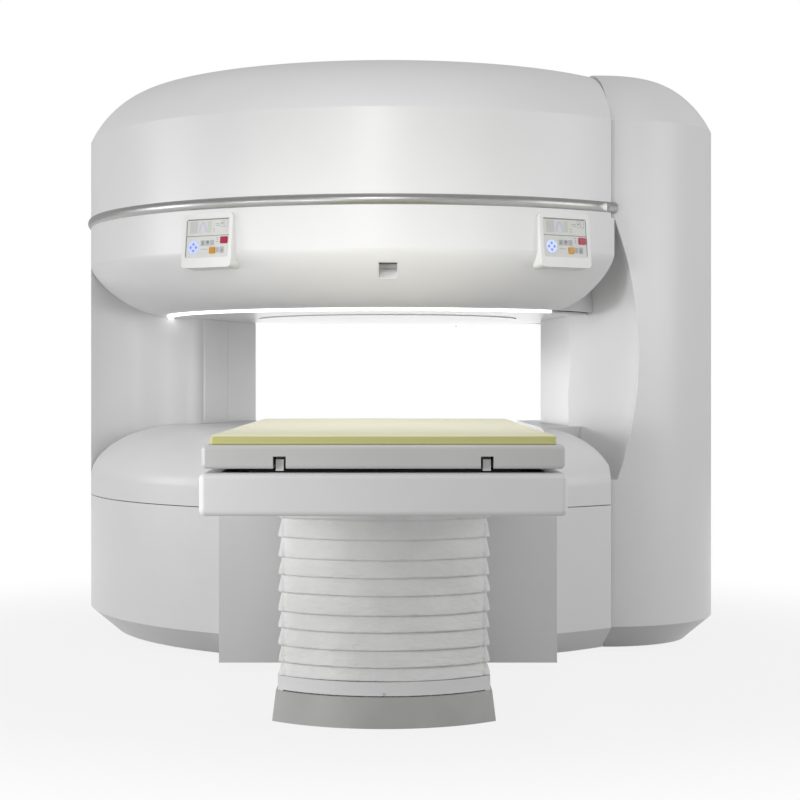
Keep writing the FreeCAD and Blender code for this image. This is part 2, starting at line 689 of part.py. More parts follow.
def hub_bridge():
    """Short stretch of the inner wall that ties it to the end of the skirt."""
    r = SKIRT_THROAT_R
    far = 2.0 * DRUM_R
    ring = disc(r + COVER_T, SKIRT_LIP_Z, SOFFIT_Z - SEAT_GAP).cut(disc(r, 0.0, TOP_Z))
    ahead = box((0.0, far), (-far, STRIP_FRONT[1]), (0.0, TOP_Z))
    return ring.common(wing_ground(SEAM_GAP + COVER_T)).cut(wing_ground(-COVER_T)).common(ahead)


def light_ring():
    ring = disc(SKIRT_THROAT_R - SEAT_GAP, POLE_Z, POLE_Z + LIGHT_H).cut(disc(LIGHT_R, 0.0, TOP_Z))
    return around_posts(ring.cut(wing_ground()))


def upper_pole_cover():
    plate = disc(LIGHT_R - SEAT_GAP, POLE_Z, POLE_Z + COVER_T)
    beside_scoop = box((0.0, DRUM_R), (-DRUM_R, STRIP_FRONT[1]), (0.0, TOP_Z)).common(wing_ground())
    plate = plate.cut(beside_scoop.cut(scoop_body(-SEAT_GAP)))
    return around_posts(plate.cut(disc(COIL_COVER_R + SEAM_GAP, 0.0, TOP_Z)))


def upper_coil_cover():
    """Round centre panel, which hangs by its rim on the pole cover."""
    rim_z = POLE_Z + COVER_T + SEAT_GAP
    rim = disc(COIL_COVER_R + COIL_RIM[0], rim_z, rim_z + COIL_RIM[1])
    return disc(COIL_COVER_R, POLE_Z - COIL_PROUD, rim_z).fuse(rim).removeSplitter()


def port_room(grow=0.0):
    half = PORT_W / 2.0 + grow
    z = (PORT_Z - PORT_H / 2.0 - grow, PORT_Z + PORT_H / 2.0 + grow)
    room = box((-half, half), (-DRUM_R - HIDDEN, -DRUM_R + 2.0 * PORT_DEPTH), z)
    low = [e for e in room.Edges if abs(e.tangentAt(e.FirstParameter).y) > 0.99 and e.CenterOfMass.z < PORT_Z]
    return room.makeFillet(PORT_EDGE + grow, low)


def skirt_face_y(z):
    """Front of the skirt at a height, in the middle plane."""
    level = Part.makeLine(V(0, -2.0 * DRUM_R, z), V(0, 0, z))
    return skirt_body().common(level).BoundBox.YMin


def port_hollow():
    """Inside of the port: its back slopes forward to the lower edge."""
    half = PORT_W / 2.0
    back = -DRUM_R + PORT_DEPTH
    front = -DRUM_R - HIDDEN
    low = PORT_Z - PORT_H / 2.0 + PORT_WALL
    high = PORT_Z + PORT_H / 2.0
    lip = skirt_face_y(low) + PORT_WALL
    corners = [(front, high), (back, high), (back, PORT_Z + PORT_RAMP), (lip, low), (front, low)]
    side = Part.makePolygon([V(-half, y, z) for y, z in corners + corners[:1]])
    return Part.Face(side).extrude(V(2.0 * half, 0, 0)).common(port_room(-PORT_WALL))


def light_port():
    """Square recess for the centring light, with a closed back."""
    deep = box((-PORT_W, PORT_W), (-DRUM_R - HIDDEN, -DRUM_R + PORT_DEPTH + PORT_WALL), (0.0, TOP_Z))
    return port_room().common(deep).common(skirt_body()).cut(port_hollow())


def light_port_lens():
    """Window in the ceiling of the port, over the beam that points down."""
    half = PORT_W / 2.0 - PORT_WALL - SEAT_GAP
    back = -DRUM_R + PORT_DEPTH - SEAT_GAP
    top = PORT_Z + PORT_H / 2.0 - PORT_WALL - SEAT_GAP
    return box((-half, half), (back - LENS_LEN, back), (top - LENS_T, top))


def post_return_y():
    """Where the rear face of the left post meets the round of the housing."""
    return math.sqrt(DRUM_R**2 - POST_RETURN_X**2)


def left_post_steps():
    wall = (-math.sqrt(DRUM_R**2 - POST_WALL_Y**2), POST_WALL_Y)
    r = POST_EDGE_R
    front = (POST_EDGE[0] - r, POST_EDGE[1] - 0.35 * r)
    side = (POST_EDGE[0] + 0.25 * r, POST_EDGE[1] + r)
    via = (POST_EDGE[0] - 0.1 * r, POST_EDGE[1] + 0.05 * r)
    rear = (POST_RETURN_X, post_return_y())
    wall_mid = polar(DRUM_R, -POST_BACK_AZ)
    return [wall, (arc_via(wall, front, -POST_SAG), front), (via, side), POST_REAR, rear, (wall_mid, wall)]


def post_prism(inset):
    face = Part.Face(Part.Wire(plan_edges(left_post_steps())))
    if inset:
        face = face.makeOffset2D(-inset)
    low = DRUM_SEAM_Z if inset == 0.0 else 0.0
    high = SKIRT_SPRING_Z + (HIDDEN if inset == 0.0 else 2.0 * HIDDEN)
    face.translate(V(0, 0, low))
    return face.extrude(V(0, 0, high - low))


def left_post_shell():
    shell = post_prism(0.0).cut(post_prism(COVER_T))
    shell = shell.cut(dome_body(-SEAT_GAP, 0.0)).cut(skirt_body(-SEAT_GAP, TOP_Z))
    return shell.cut(disc(SKIRT_THROAT_R + COVER_T, POLE_Z - SEAT_GAP, TOP_Z))


def left_inner_room():
    side = left_post_steps()[2][1]
    share = (POST_SEAM_Y - side[1]) / (POST_REAR[1] - side[1])
    seam = (side[0] + share * (POST_REAR[0] - side[0]), POST_SEAM_Y)
    out = 2.0 * COVER_T
    return prism([
        (seam[0] - out, seam[1]),
        (POST_REAR[0] - out, POST_REAR[1] - COVER_T),
        (POST_RETURN_X - out, post_return_y()),
        (POST_RETURN_X - out, DRUM_R),
        (DRUM_FREE_X, DRUM_R),
        (DRUM_FREE_X, seam[1]),
    ], 0.0, TOP_Z)


def left_post_cover():
    seam = left_inner_room()
    seam.translate(V(0, -SEAM_GAP, 0))
    return left_post_shell().cut(left_inner_room()).cut(seam)


def left_inner_cover():
    return left_post_shell().common(left_inner_room())


def floor_plate():
    plate = disc(FLOOR_PLATE_R, 0.0, FLOOR_PLATE_T)
    return drill(plate, (0.0, 0.0), ANCHOR_SPAN, ANCHOR_R, FLOOR_PLATE_T)


def drill(plate, at, span, radius, depth):
    for x in (-span[0] / 2.0, span[0] / 2.0):
        for y in (-span[1] / 2.0, span[1] / 2.0):
            plate = plate.cut(disc(radius, -1.0, depth + 1.0, (at[0] + x, at[1] + y)))
    return plate


def magnet_feet():
    feet = [disc(FOOT_R, FLOOR_PLATE_T, LOWER_VESSEL_Z[0], (x, y))
            for x in (-FOOT_AT[0], FOOT_AT[0]) for y in (-FOOT_AT[1], FOOT_AT[1])]
    return Part.Compound(feet)


def mirrored_z(span):
    """The same heights above the mid plane of the gap."""
    return (2.0 * ISO_Z - span[1], 2.0 * ISO_Z - span[0])


def vessel(span):
    """Closed drum with a solid lobe at each support post."""
    body = disc(VESSEL_R, *span)
    for at, radius in support_spots().values():
        body = body.fuse(disc(radius + VESSEL_LOBE, *span, at))
    hollow = disc(VESSEL_R - VESSEL_WALL, span[0] + VESSEL_WALL, span[1] - VESSEL_WALL)
    return body.removeSplitter().cut(hollow)


def stack(level, upper):
    """Heights of pole piece, gradient coil and coil board, from the vessel to the gap."""
    top = CHANNEL_Z - COVER_T - RF_UNDER_COVER
    spans = {
        "rf": (top - RF_T, top),
        "gradient": (top - RF_T - GRADIENT_T, top - RF_T),
        "pole": (LOWER_VESSEL_Z[1], top - RF_T - GRADIENT_T),
    }
    return mirrored_z(spans[level]) if upper else spans[level]


def support_post(side):
    at, radius = support_spots()[side]
    return disc(radius, LOWER_VESSEL_Z[1], 2.0 * ISO_Z - LOWER_VESSEL_Z[1], at)


def vessel_top():
    return TOP_Z - ROOF_ROOM


def cold_head():
    low = vessel_top()
    wide, flange_t = COLD_FLANGE
    flange = disc(wide * COLD_HEAD_R, low, low + flange_t, COLD_HEAD_AT)
    body = disc(COLD_HEAD_R, low + flange_t, low + COLD_HEAD_H, COLD_HEAD_AT)
    return flange.fuse(body).removeSplitter()


def channel_glides():
    bars = []
    for side in (-1.0, 1.0):
        x = TABLE_X + side * GLIDE_X
        z = (CHANNEL_Z, SLAB_Z[0] - RUN_GAP)
        bars.append(box((x - GLIDE_W / 2.0, x + GLIDE_W / 2.0), GLIDE_Y, z))
    return Part.Compound(bars)


def panel_tilt():
    return math.atan2(PANEL_PROUD_LOW - PANEL_PROUD_TOP, PANEL_TOP_Z - PANEL_LOW_Z)


def rounded_plate(width, height, radius, depth):
    """Plate in XY with its lower edge on y = 0 and its face on z = 0, going down."""
    plate = Part.makeBox(width, height, depth, V(-width / 2.0, 0, -depth))
    upright = [e for e in plate.Edges if abs(e.tangentAt(e.FirstParameter).z) > 0.99]
    return plate.makeFillet(radius, upright)


def on_panel(shape, azimuth, low_z=FACE_LOW_Z):
    """Place a shape drawn flat, face up, on the slanted face of a control panel."""
    tilt = math.degrees(panel_tilt())
    lean = PANEL_PROUD_LOW - (low_z - PANEL_LOW_Z) * math.tan(panel_tilt())
    shape.rotate(V(0, 0, 0), V(1, 0, 0), 90.0 - tilt)
    shape.translate(V(0, -DRUM_R - lean, low_z))
    shape.rotate(V(0, 0, 0), V(0, 0, 1), azimuth)
    return shape


def key_plate(size, at, grow, top, depth):
    plate = rounded_plate(size[0] + 2.0 * grow, size[1] + 2.0 * grow, KEY_EDGE + grow, depth)
    plate.translate(V(at[0], at[1] - grow, top))
    return plate


def panel_housing(azimuth):
    height = (PANEL_TOP_Z - PANEL_LOW_Z) / math.cos(panel_tilt())
    block = rounded_plate(PANEL_W, height, HOUSING_EDGE, HOUSING_DEPTH)
    face = rounded_plate(FACE_W + 2.0 * SEAT_GAP, FACE_H + 2.0 * SEAT_GAP, FACE_EDGE, FACE_SINK)
    face_up = (FACE_LOW_Z - PANEL_LOW_Z) / math.cos(panel_tilt())
    face.translate(V(0, face_up - SEAT_GAP, 0))
    block = block.cut(face)
    for size, at in KEYS.values():
        block = block.cut(key_plate(size, (at[0], at[1] + face_up), RUN_GAP, 0.0, KEY_WELL))
    block = on_panel(block, azimuth, PANEL_LOW_Z)
    return block.cut(skirt_body(-SEAT_GAP, TOP_Z))


def panel_face(azimuth):
    plate = rounded_plate(FACE_W, FACE_H, FACE_EDGE, FACE_T)
    plate.translate(V(0, 0, FACE_T - FACE_SINK))
    for size, at in KEYS.values():
        plate = plate.cut(key_plate(size, at, RUN_GAP, FACE_T, 3.0 * FACE_T))
    dial = Part.makeCylinder(DIAL_R + SEAT_GAP, 3.0 * FACE_SINK, V(*DIAL_AT, -2.0 * FACE_SINK))
    return on_panel(plate.cut(dial), azimuth)


def panel_key(name, azimuth):
    size, at = KEYS[name]
    depth = KEY_WELL + KEY_PROUD - KEY_TRAVEL - RUN_GAP
    return on_panel(key_plate(size, at, 0.0, KEY_PROUD, depth), azimuth)


def panel_dial(azimuth):
    lens = Part.makeCylinder(DIAL_R, FACE_T, V(*DIAL_AT, DIAL_PROUD - FACE_SINK))
    return on_panel(lens, azimuth)


def bowed_steps(width, front_y, rear_y, grow=0.0):
    """Foot outline: straight sides and back with a bowed front."""
    half = width / 2.0 + grow
    front = front_y - grow
    corner = front_y + FRONT_RISE - grow
    rear = rear_y + grow
    x = TABLE_X
    return [(x - half, rear), (x - half, corner), ((x, front), (x + half, corner)), (x + half, rear)]


def loft(levels):
    """Solid with flat facets between outlines given with their heights."""
    wires = []
    for steps, z in levels:
        wire = Part.Wire(plan_edges(steps))
        wire.translate(V(0, 0, z))
        wires.append(wire)
    return Part.makeLoft(wires, True, True)


def base_steps(grow):
    return bowed_steps(BASE_W, BASE_FRONT_Y, BASE_REAR_Y, grow)


def bellows_steps(grow):
    return bowed_steps(BELLOWS_W, BELLOWS_FRONT_Y, BELLOWS_REAR_Y, grow)


def table_base():
    slope = BASE_SLOPE
    t = BASE_T
    outer = loft([(base_steps(0.0), 0.0), (base_steps(-slope), BASE_H)])
    inner = loft([(base_steps(-t), -1.0), (base_steps(-slope - t), BASE_H - t)])
    mouth = prism(bellows_steps(-4.0 * BELLOWS_FOLD), 0.0, 2.0 * BASE_H)
    return outer.cut(inner).cut(mouth)


def centred_box(width, y, z):
    """Box on the middle line of the table."""
    return box((TABLE_X - width / 2.0, TABLE_X + width / 2.0), y, z)


def table_centre_y():
    return (LIFT_COLUMN_Y[0] + LIFT_COLUMN_Y[1]) / 2.0


def base_anchor_plate():
    w, d, t = ANCHOR_PLATE
    y = table_centre_y()
    plate = centred_box(w, (y - d / 2.0, y + d / 2.0), (0.0, t))
    return drill(plate, (TABLE_X, y), TABLE_ANCHOR_SPAN, ANCHOR_R, t)


def tube(width, depth, y, low, high):
    outer = centred_box(width, (y - depth / 2.0, y + depth / 2.0), (low, high))
    inner_d = depth / 2.0 - COLUMN_WALL
    inner_w = width - 2.0 * COLUMN_WALL
    return outer.cut(centred_box(inner_w, (y - inner_d, y + inner_d), (low - 1.0, high + 1.0)))


def lift_guides():
    low = ANCHOR_PLATE[2]
    return Part.Compound([tube(COLUMN_W, COLUMN_D, y, low, OUTER_COLUMN_TOP) for y in LIFT_COLUMN_Y])


def lift_columns():
    shrink = 2.0 * (COLUMN_WALL + RUN_GAP)
    w = COLUMN_W - shrink
    d = COLUMN_D - shrink
    return Part.Compound([tube(w, d, y, INNER_COLUMN_LOW, frame_low()) for y in LIFT_COLUMN_Y])


def frame_low():
    return BODY_Z[0] + BODY_T


def lift_actuator():
    at = (TABLE_X, table_centre_y())
    case = disc(ACTUATOR_R, ANCHOR_PLATE[2], OUTER_COLUMN_TOP, at)
    return case.cut(disc(ROD_R + ROD_FIT, ANCHOR_PLATE[2] + ACTUATOR_FLOOR, TOP_Z, at))


def lift_rod():
    return disc(ROD_R, INNER_COLUMN_LOW, frame_low(), (TABLE_X, table_centre_y()))


def bellows_levels(inset):
    """Outlines up the bellows, four to a pleat."""
    low = BASE_H + CLAMP_H
    high = BODY_Z[0]
    steps = 4 * BELLOWS_PLEATS
    levels = []
    for n in range(steps + 1):
        fold = 0.5 - 0.5 * math.cos(math.pi * n / 2.0)
        grow = -BELLOWS_FOLD * (1.0 - fold) - inset
        levels.append((bellows_steps(grow), low + (high - low) * n / steps))
    return levels


def bellows():
    outer = loft(bellows_levels(0.0))
    levels = bellows_levels(BELLOWS_T)
    levels[0] = (levels[0][0], levels[0][1] - 1.0)
    levels[-1] = (levels[-1][0], levels[-1][1] + 1.0)
    return outer.cut(loft(levels))


def bellows_clamp():
    """Band that holds the lower edge of the bellows on the foot."""
    band = prism(bellows_steps(-CLAMP_IN), BASE_H, BASE_H + CLAMP_H)
    return band.cut(prism(bellows_steps(-3.0 * BELLOWS_FOLD), 0.0, TOP_Z))


def soft_box(x, y, z, radius):
    shape = box(x, y, z)
    return shape.makeFillet(radius, shape.Edges)


def along_table(inset):
    """Front and rear ends of the table, drawn in."""
    return (TABLE_FRONT_Y + inset, TABLE_FRONT_Y + TABLE_LEN - inset)


def body_block(inset):
    half = BODY_W / 2.0 - inset
    z = (BODY_Z[0] + inset, BODY_Z[1] - inset)
    return soft_box((TABLE_X - half, TABLE_X + half), along_table(inset), z, BODY_EDGE - inset)


def table_body():
    """Hollow housing under the top, open above for the carriage and below for the lift."""
    shell = body_block(0.0).cut(body_block(BODY_T))
    wide = CARRIAGE_W + 2.0 * (SHIFT + MOUTH_CLEAR)
    long = along_table(CARRIAGE_INSET - 2.0 * MOUTH_CLEAR)
    above = centred_box(wide, long, (BODY_Z[1] - 2.0 * BODY_T, TOP_Z))
    lift_y = (LIFT_COLUMN_Y[0] - COLUMN_D / 2.0 - SEAM_GAP, LIFT_COLUMN_Y[1] + COLUMN_D / 2.0 + SEAM_GAP)
    below = centred_box(COLUMN_W + 2.0 * SEAM_GAP, lift_y, (0.0, BODY_Z[0] + 2.0 * BODY_T))
    return shell.cut(above).cut(below)


def body_frame():
    """Two long beams with cross members that carry the cross rails, and the tops of the lift."""
    w, h = FRAME_BEAM
    low = frame_low()
    half = CARRIAGE_W / 2.0 + FRAME_OUT
    beams = []
    for x in (TABLE_X - half, TABLE_X + half):
        beams.append(box((x - w / 2.0, x + w / 2.0), along_table(CARRIAGE_INSET), (low, low + h)))
    for at in cross_rail_y():
        beams.append(centred_box(2.0 * half, (at - w, at + w), (low, low + h)))
    for at in LIFT_COLUMN_Y:
        y = (at - COLUMN_D / 2.0, at + COLUMN_D / 2.0)
        beams.append(centred_box(2.0 * half, y, (low, low + h / 3.0)))
    beams.append(centred_box(COLUMN_D, LIFT_COLUMN_Y, (low, low + h / 3.0)))
    return beams[0].multiFuse(beams[1:]).removeSplitter()


def cross_rail_y():
    front, rear = along_table(3.0 * CARRIAGE_INSET)
    return (front, 0.5 * (front + rear), rear)


def rail_z():
    low = frame_low() + FRAME_BEAM[1]
    return (low, low + CROSS_RAIL)


def cross_rails():
    width = CARRIAGE_W + 2.0 * CROSS_RAIL_OUT
    c = CROSS_RAIL / 2.0
    return Part.Compound([centred_box(width, (y - c, y + c), rail_z()) for y in cross_rail_y()])


def shoe(x, y):
    """Block with a groove that rides on a cross rail."""
    w, d = SHOE
    c = CROSS_RAIL / 2.0 + RUN_GAP
    block = box((x - w / 2.0, x + w / 2.0), (y - d / 2.0, y + d / 2.0), (rail_z()[0] + SHOE_RISE, CARRIAGE_Z[0]))
    return block.cut(box((x - w, x + w), (y - c, y + c), (0.0, rail_z()[1] + RUN_GAP)))


def carriage():
    """Plate that carries the top, with its shoes and the ears of the drive wheel."""
    plate = centred_box(CARRIAGE_W, along_table(CARRIAGE_INSET), CARRIAGE_Z)
    out = CARRIAGE_W / 2.0 - SHOE_IN
    shoes = [shoe(x, y) for y in cross_rail_y() for x in (TABLE_X - out, TABLE_X + out)]
    slot_half = WHEEL_HALF + WHEEL_SLOT
    slot_y = WHEEL_R + 2.0 * WHEEL_SLOT
    slot = centred_box(2.0 * slot_half, (WHEEL_Y - slot_y, WHEEL_Y + slot_y), (0.0, TOP_Z))
    ears = centred_box(2.0 * (slot_half + EAR_T), (WHEEL_Y - EAR_HALF, WHEEL_Y + EAR_HALF),
                       (wheel_z() - EAR_DROP, CARRIAGE_Z[0])).cut(slot)
    plate = plate.cut(slot).multiFuse(shoes + [ears]).removeSplitter()
    return plate.cut(axle(AXLE_R, 2.0 * (slot_half + EAR_T)))


def wheel_z():
    return SLAB_Z[0] - RUN_GAP - WHEEL_R


def axle(radius, length):
    """Round bar along the axis of the drive wheel."""
    return Part.makeCylinder(radius, length, V(TABLE_X - length / 2.0, WHEEL_Y, wheel_z()), V(1, 0, 0))


def drive_axle():
    return axle(AXLE_R, 2.0 * (WHEEL_HALF + WHEEL_SLOT + EAR_T))


def drive_wheel():
    """Rubber tyred wheel that drives the underside of the top."""
    width = 2.0 * WHEEL_HALF
    return axle(WHEEL_R, width).cut(axle(AXLE_R + AXLE_FIT, width))


def travel_rails():
    top = SLAB_Z[0] + NOTCH_H - RUNNER[2] - RUN_GAP
    half = RAIL_W / 2.0
    y = along_table(RAIL_END)
    return Part.Compound([
        box((x - half, x + half), y, (CARRIAGE_Z[1], top)) for x in (TABLE_X - RAIL_X, TABLE_X + RAIL_X)])


def table_top():
    half = SLAB_W / 2.0
    y = along_table(0.0)
    slab = soft_box((TABLE_X - half, TABLE_X + half), y, SLAB_Z, SLAB_EDGE)
    wide = NOTCH_W / 2.0
    for x in (TABLE_X - RAIL_X, TABLE_X + RAIL_X):
        slab = slab.cut(box((x - wide, x + wide), (y[0] - 1.0, y[1] + 1.0), (0.0, SLAB_Z[0] + NOTCH_H)))
    return slab.cut(slab_cores())


def slab_cores():
    """Hollows of the sandwich top, beside and between its grooves."""
    t = SLAB_T
    z = (SLAB_Z[0] + t, SLAB_Z[1] - t)
    rib = NOTCH_W / 2.0 + t
    outer = SLAB_W / 2.0 - 2.0 * t
    spans = [(-outer, -RAIL_X - rib), (-RAIL_X + rib, RAIL_X - rib), (RAIL_X + rib, outer)]
    return Part.Compound([box((TABLE_X + a, TABLE_X + b), along_table(2.0 * t), z) for a, b in spans])


def runner_pads():
    """Low friction pads in the grooves of the top, which ride on the rails."""
    pads = []
    w, length, t = RUNNER
    roof = SLAB_Z[0] + NOTCH_H
    for x in (TABLE_X - RAIL_X, TABLE_X + RAIL_X):
        for at in RUNNER_AT:
            low = TABLE_FRONT_Y + at % TABLE_LEN
            y = (low, low + length)
            pads.append(box((x - w / 2.0, x + w / 2.0), y, (roof - t, roof)))
    return Part.Compound(pads)


def mattress():
    """Foam pad with a crowned top and sides that draw in to a middle seam."""
    half = PAD_W / 2.0
    front, rear = along_table(PAD_INSET)
    across = pad_section(TABLE_X - half, TABLE_X + half)
    across.translate(V(0, rear, 0))
    along = pad_section(front, rear)
    along.rotate(V(0, 0, 0), V(0, 0, 1), 90.0)
    along.translate(V(TABLE_X + PAD_W, 0, 0))
    return across.extrude(V(0, front - rear, 0)).common(along.extrude(V(-2.0 * PAD_W, 0, 0)))


def pad_section(a, b):
    low = SLAB_Z[1]
    high = low + PAD_T
    seam = (low + high) / 2.0
    corners = [V(a, 0, low), V(b, 0, low), V(b, 0, high), V(a, 0, high)]
    edges = [
        Part.LineSegment(corners[0], corners[1]).toShape(),
        Part.Arc(corners[1], V(b - PAD_DRAW, 0, seam), corners[2]).toShape(),
        Part.Arc(corners[2], V((a + b) / 2.0, 0, high + PAD_CROWN), corners[3]).toShape(),
        Part.Arc(corners[3], V(a + PAD_DRAW, 0, seam), corners[0]).toShape(),
    ]
    return Part.Face(Part.Wire(edges))


def nodes():
    made = {
        "floor_plate": floor_plate(),
        "magnet_feet": magnet_feet(),
        "lower_vessel": vessel(LOWER_VESSEL_Z),
        "upper_vessel": vessel((2.0 * ISO_Z - LOWER_VESSEL_Z[1], vessel_top())),
        "left_support_post": support_post("left"),
        "right_support_post": support_post("right"),
        "cold_head": cold_head(),
        "lower_drum_cover": lower_drum_cover(),
        "left_shoulder_cover": left_shoulder_cover(),
        "right_shoulder_cover": right_shoulder_cover(),
        "right_floor_cover": right_floor_cover(),
        "rear_sill_cover": rear_sill_cover(),
        "channel_tray": channel_tray(),
        "channel_glides": channel_glides(),
        "front_fairing": front_fairing(),
        "upper_drum_cover": upper_drum_cover(),
        "roof_cover": roof_cover(),
        "trim_ring": trim_ring(),
        "skirt_cover": skirt_cover(),
        "light_ring": light_ring(),
        "upper_pole_cover": upper_pole_cover(),
        "upper_coil_cover": upper_coil_cover(),
        "right_column_cover": right_column_cover(),
        "right_inner_cover": right_inner_cover(),
        "left_post_cover": left_post_cover(),
        "left_inner_cover": left_inner_cover(),
        "light_port": light_port(),
        "light_port_lens": light_port_lens(),
        "table_base": table_base(),
        "base_anchor_plate": base_anchor_plate(),
        "lift_guides": lift_guides(),
        "lift_columns": lift_columns(),
        "lift_actuator": lift_actuator(),
        "lift_rod": lift_rod(),
        "bellows": bellows(),
        "bellows_clamp": bellows_clamp(),
        "table_body": table_body(),
        "body_frame": body_frame(),
        "cross_rails": cross_rails(),
        "carriage": carriage(),
        "drive_axle": drive_axle(),
        "drive_wheel": drive_wheel(),
        "travel_rails": travel_rails(),
        "table_top": table_top(),
        "runner_pads": runner_pads(),
        "mattress": mattress(),
    }
    for half, upper in (("lower", False), ("upper", True)):
        made[half + "_pole_piece"] = disc(POLE_R, *stack("pole", upper))
        made[half + "_gradient_coil"] = disc(GRADIENT_R, *stack("gradient", upper))
        made[half + "_rf_coil"] = disc(RF_R, *stack("rf", upper))
    made["panel_faces"] = Part.Compound([panel_face(azimuth) for azimuth in PANEL_AZ.values()])
    made["panel_dials"] = Part.Compound([panel_dial(azimuth) for azimuth in PANEL_AZ.values()])
    for side, azimuth in PANEL_AZ.items():
        made[side + "_panel_housing"] = panel_housing(azimuth)
        made[side + "_stop_key"] = panel_key("stop", azimuth)
        made[side + "_release_key"] = panel_key("release", azimuth)
    return made


def main():
    os.makedirs("parts", exist_ok=True)
    for name, shape in nodes().items():
        shape.exportStep(os.path.join("parts", name + ".step"))
        print(name, len(shape.Solids), round(shape.Volume / 1e6, 3), shape.isValid())


main()
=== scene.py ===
import math

import bmesh
import bpy
from bpy.props import FloatProperty, FloatVectorProperty, PointerProperty
from mathutils import Matrix, Vector, noise


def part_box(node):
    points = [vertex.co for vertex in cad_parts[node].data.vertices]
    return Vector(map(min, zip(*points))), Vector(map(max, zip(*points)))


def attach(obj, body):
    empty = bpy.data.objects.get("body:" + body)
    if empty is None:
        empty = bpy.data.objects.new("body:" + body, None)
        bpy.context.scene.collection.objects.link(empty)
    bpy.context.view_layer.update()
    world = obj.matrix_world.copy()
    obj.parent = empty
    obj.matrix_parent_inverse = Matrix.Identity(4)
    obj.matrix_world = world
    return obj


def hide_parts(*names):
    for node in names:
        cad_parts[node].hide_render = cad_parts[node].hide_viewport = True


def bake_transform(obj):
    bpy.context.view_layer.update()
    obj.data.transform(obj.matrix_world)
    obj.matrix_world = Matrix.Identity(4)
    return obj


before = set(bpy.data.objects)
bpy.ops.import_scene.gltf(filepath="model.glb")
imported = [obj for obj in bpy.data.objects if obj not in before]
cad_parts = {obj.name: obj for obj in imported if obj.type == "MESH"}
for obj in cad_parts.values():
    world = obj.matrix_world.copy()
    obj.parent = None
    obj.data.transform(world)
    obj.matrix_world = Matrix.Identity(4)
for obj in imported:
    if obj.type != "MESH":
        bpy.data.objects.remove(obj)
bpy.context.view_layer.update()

bl_info = {
    "name": "Open scanner looks",
    "version": (1, 0, 0),
    "blender": (4, 5, 0),
    "location": "3D View > Sidebar > Scanner",
    "description": "Finishes, soft goods and studio for an open magnet scanner with its patient table",
    "category": "Object",
}

MM = 0.001
SENSOR_MM = 36.0
PICTURE_PX = 800.0
VANISHING_PX = (388.0, 380.0)
WHITE = (1.0, 1.0, 1.0, 1.0)


# ---------------------------------------------------------------- colours and nodes

def shade(hex_code):
    """Linear colour from an sRGB hex code."""
    parts = [int(hex_code[n:n + 2], 16) / 255.0 for n in (1, 3, 5)]
    return [c / 12.92 if c <= 0.04045 else ((c + 0.055) / 1.055) ** 2.4 for c in parts] + [1.0]


def dimmed(hex_code, share):
    """Linear colour from an sRGB hex code, cut to the given share of its light."""
    return [share * c for c in shade(hex_code)[:3]] + [1.0]


def add(tree, kind, links=(), inputs=(), **settings):
    """One node with its settings, the values of its free sockets and the links into it."""
    made = tree.nodes.new(kind)
    for key, value in settings.items():
        setattr(made, key, value)
    for socket, value in dict(inputs).items():
        made.inputs[socket].default_value = value
    for socket, source in dict(links).items():
        tree.links.new(source, made.inputs[socket])
    return made


def surface(name, colour, roughness, metallic=0.0, **sockets):
    """New material with its shader; returns the material, its node tree and the shader."""
    made = bpy.data.materials.new(name)
    made.use_nodes = True
    tree = made.node_tree
    shader = tree.nodes["Principled BSDF"]
    shader.inputs["Base Color"].default_value = colour
    shader.inputs["Roughness"].default_value = roughness
    shader.inputs["Metallic"].default_value = metallic
    for socket, value in sockets.items():
        shader.inputs[socket.replace("_", " ")].default_value = value
    return made, tree, shader


def place(tree, stretch=(1.0, 1.0, 1.0)):
    """The piece's own position in metres, stretched along its axes."""
    spot = add(tree, "ShaderNodeTexCoord")
    return add(tree, "ShaderNodeMapping", {"Vector": spot.outputs["Object"]}, {"Scale": stretch}).outputs[0]


def grain(tree, shader, spacing_mm, depth_mm, stretch=(1.0, 1.0, 1.0)):
    """Fine relief with a grain of the given spacing and depth."""
    rough = add(tree, "ShaderNodeTexNoise", {"Vector": place(tree, stretch)},
                {"Scale": 1.0 / (spacing_mm * MM), "Detail": 2.0})
    bump = add(tree, "ShaderNodeBump", {"Height": rough.outputs[0]},
               {"Strength": 1.0, "Distance": depth_mm * MM})
    tree.links.new(bump.outputs[0], shader.inputs["Normal"])


def drift(tree, shader, low, high, patch_mm, stretch=(1.0, 1.0, 1.0)):
    """Slow change between two near shades, in patches of the given size."""
    cloud = add(tree, "ShaderNodeTexNoise", {"Vector": place(tree, stretch)},
                {"Scale": 1.0 / (patch_mm * MM), "Detail": 3.0})
    ramp = add(tree, "ShaderNodeValToRGB", {"Fac": cloud.outputs[0]})
    ramp.color_ramp.elements[0].position = 0.35
    ramp.color_ramp.elements[0].color = low
    ramp.color_ramp.elements[1].position = 0.65
    ramp.color_ramp.elements[1].color = high
    tree.links.new(ramp.outputs[0], shader.inputs["Base Color"])
    return ramp


# ---------------------------------------------------------------- materials

def satin_cover_paint(look):
    """Two pack polyurethane sprayed on moulded covers: soft white with a broad, quiet highlight.
    The peel of a sprayed coat is about 1 mm across; it is drawn 3 mm across so that it shows."""
    made, tree, shader = surface("polyurethane_satin_sprayed", shade("#ECECED"), look.roughness,
                                 IOR=1.5, Coat_Weight=0.15, Coat_Roughness=0.25)
    drift(tree, shader, shade("#EBEBEC"), shade("#EEEEEF"), 420.0)
    grain(tree, shader, look.peel, 0.02)
    return made


def moulded_abs_white():
    """Injection moulded ABS of the panel housings: a little whiter, with a fine spark texture."""
    made, tree, shader = surface("abs_moulded_white", shade("#F1F1F0"), 0.42, IOR=1.53)
    drift(tree, shader, shade("#F0F0EF"), shade("#F3F3F2"), 90.0)
    grain(tree, shader, 1.4, 0.03)
    return made


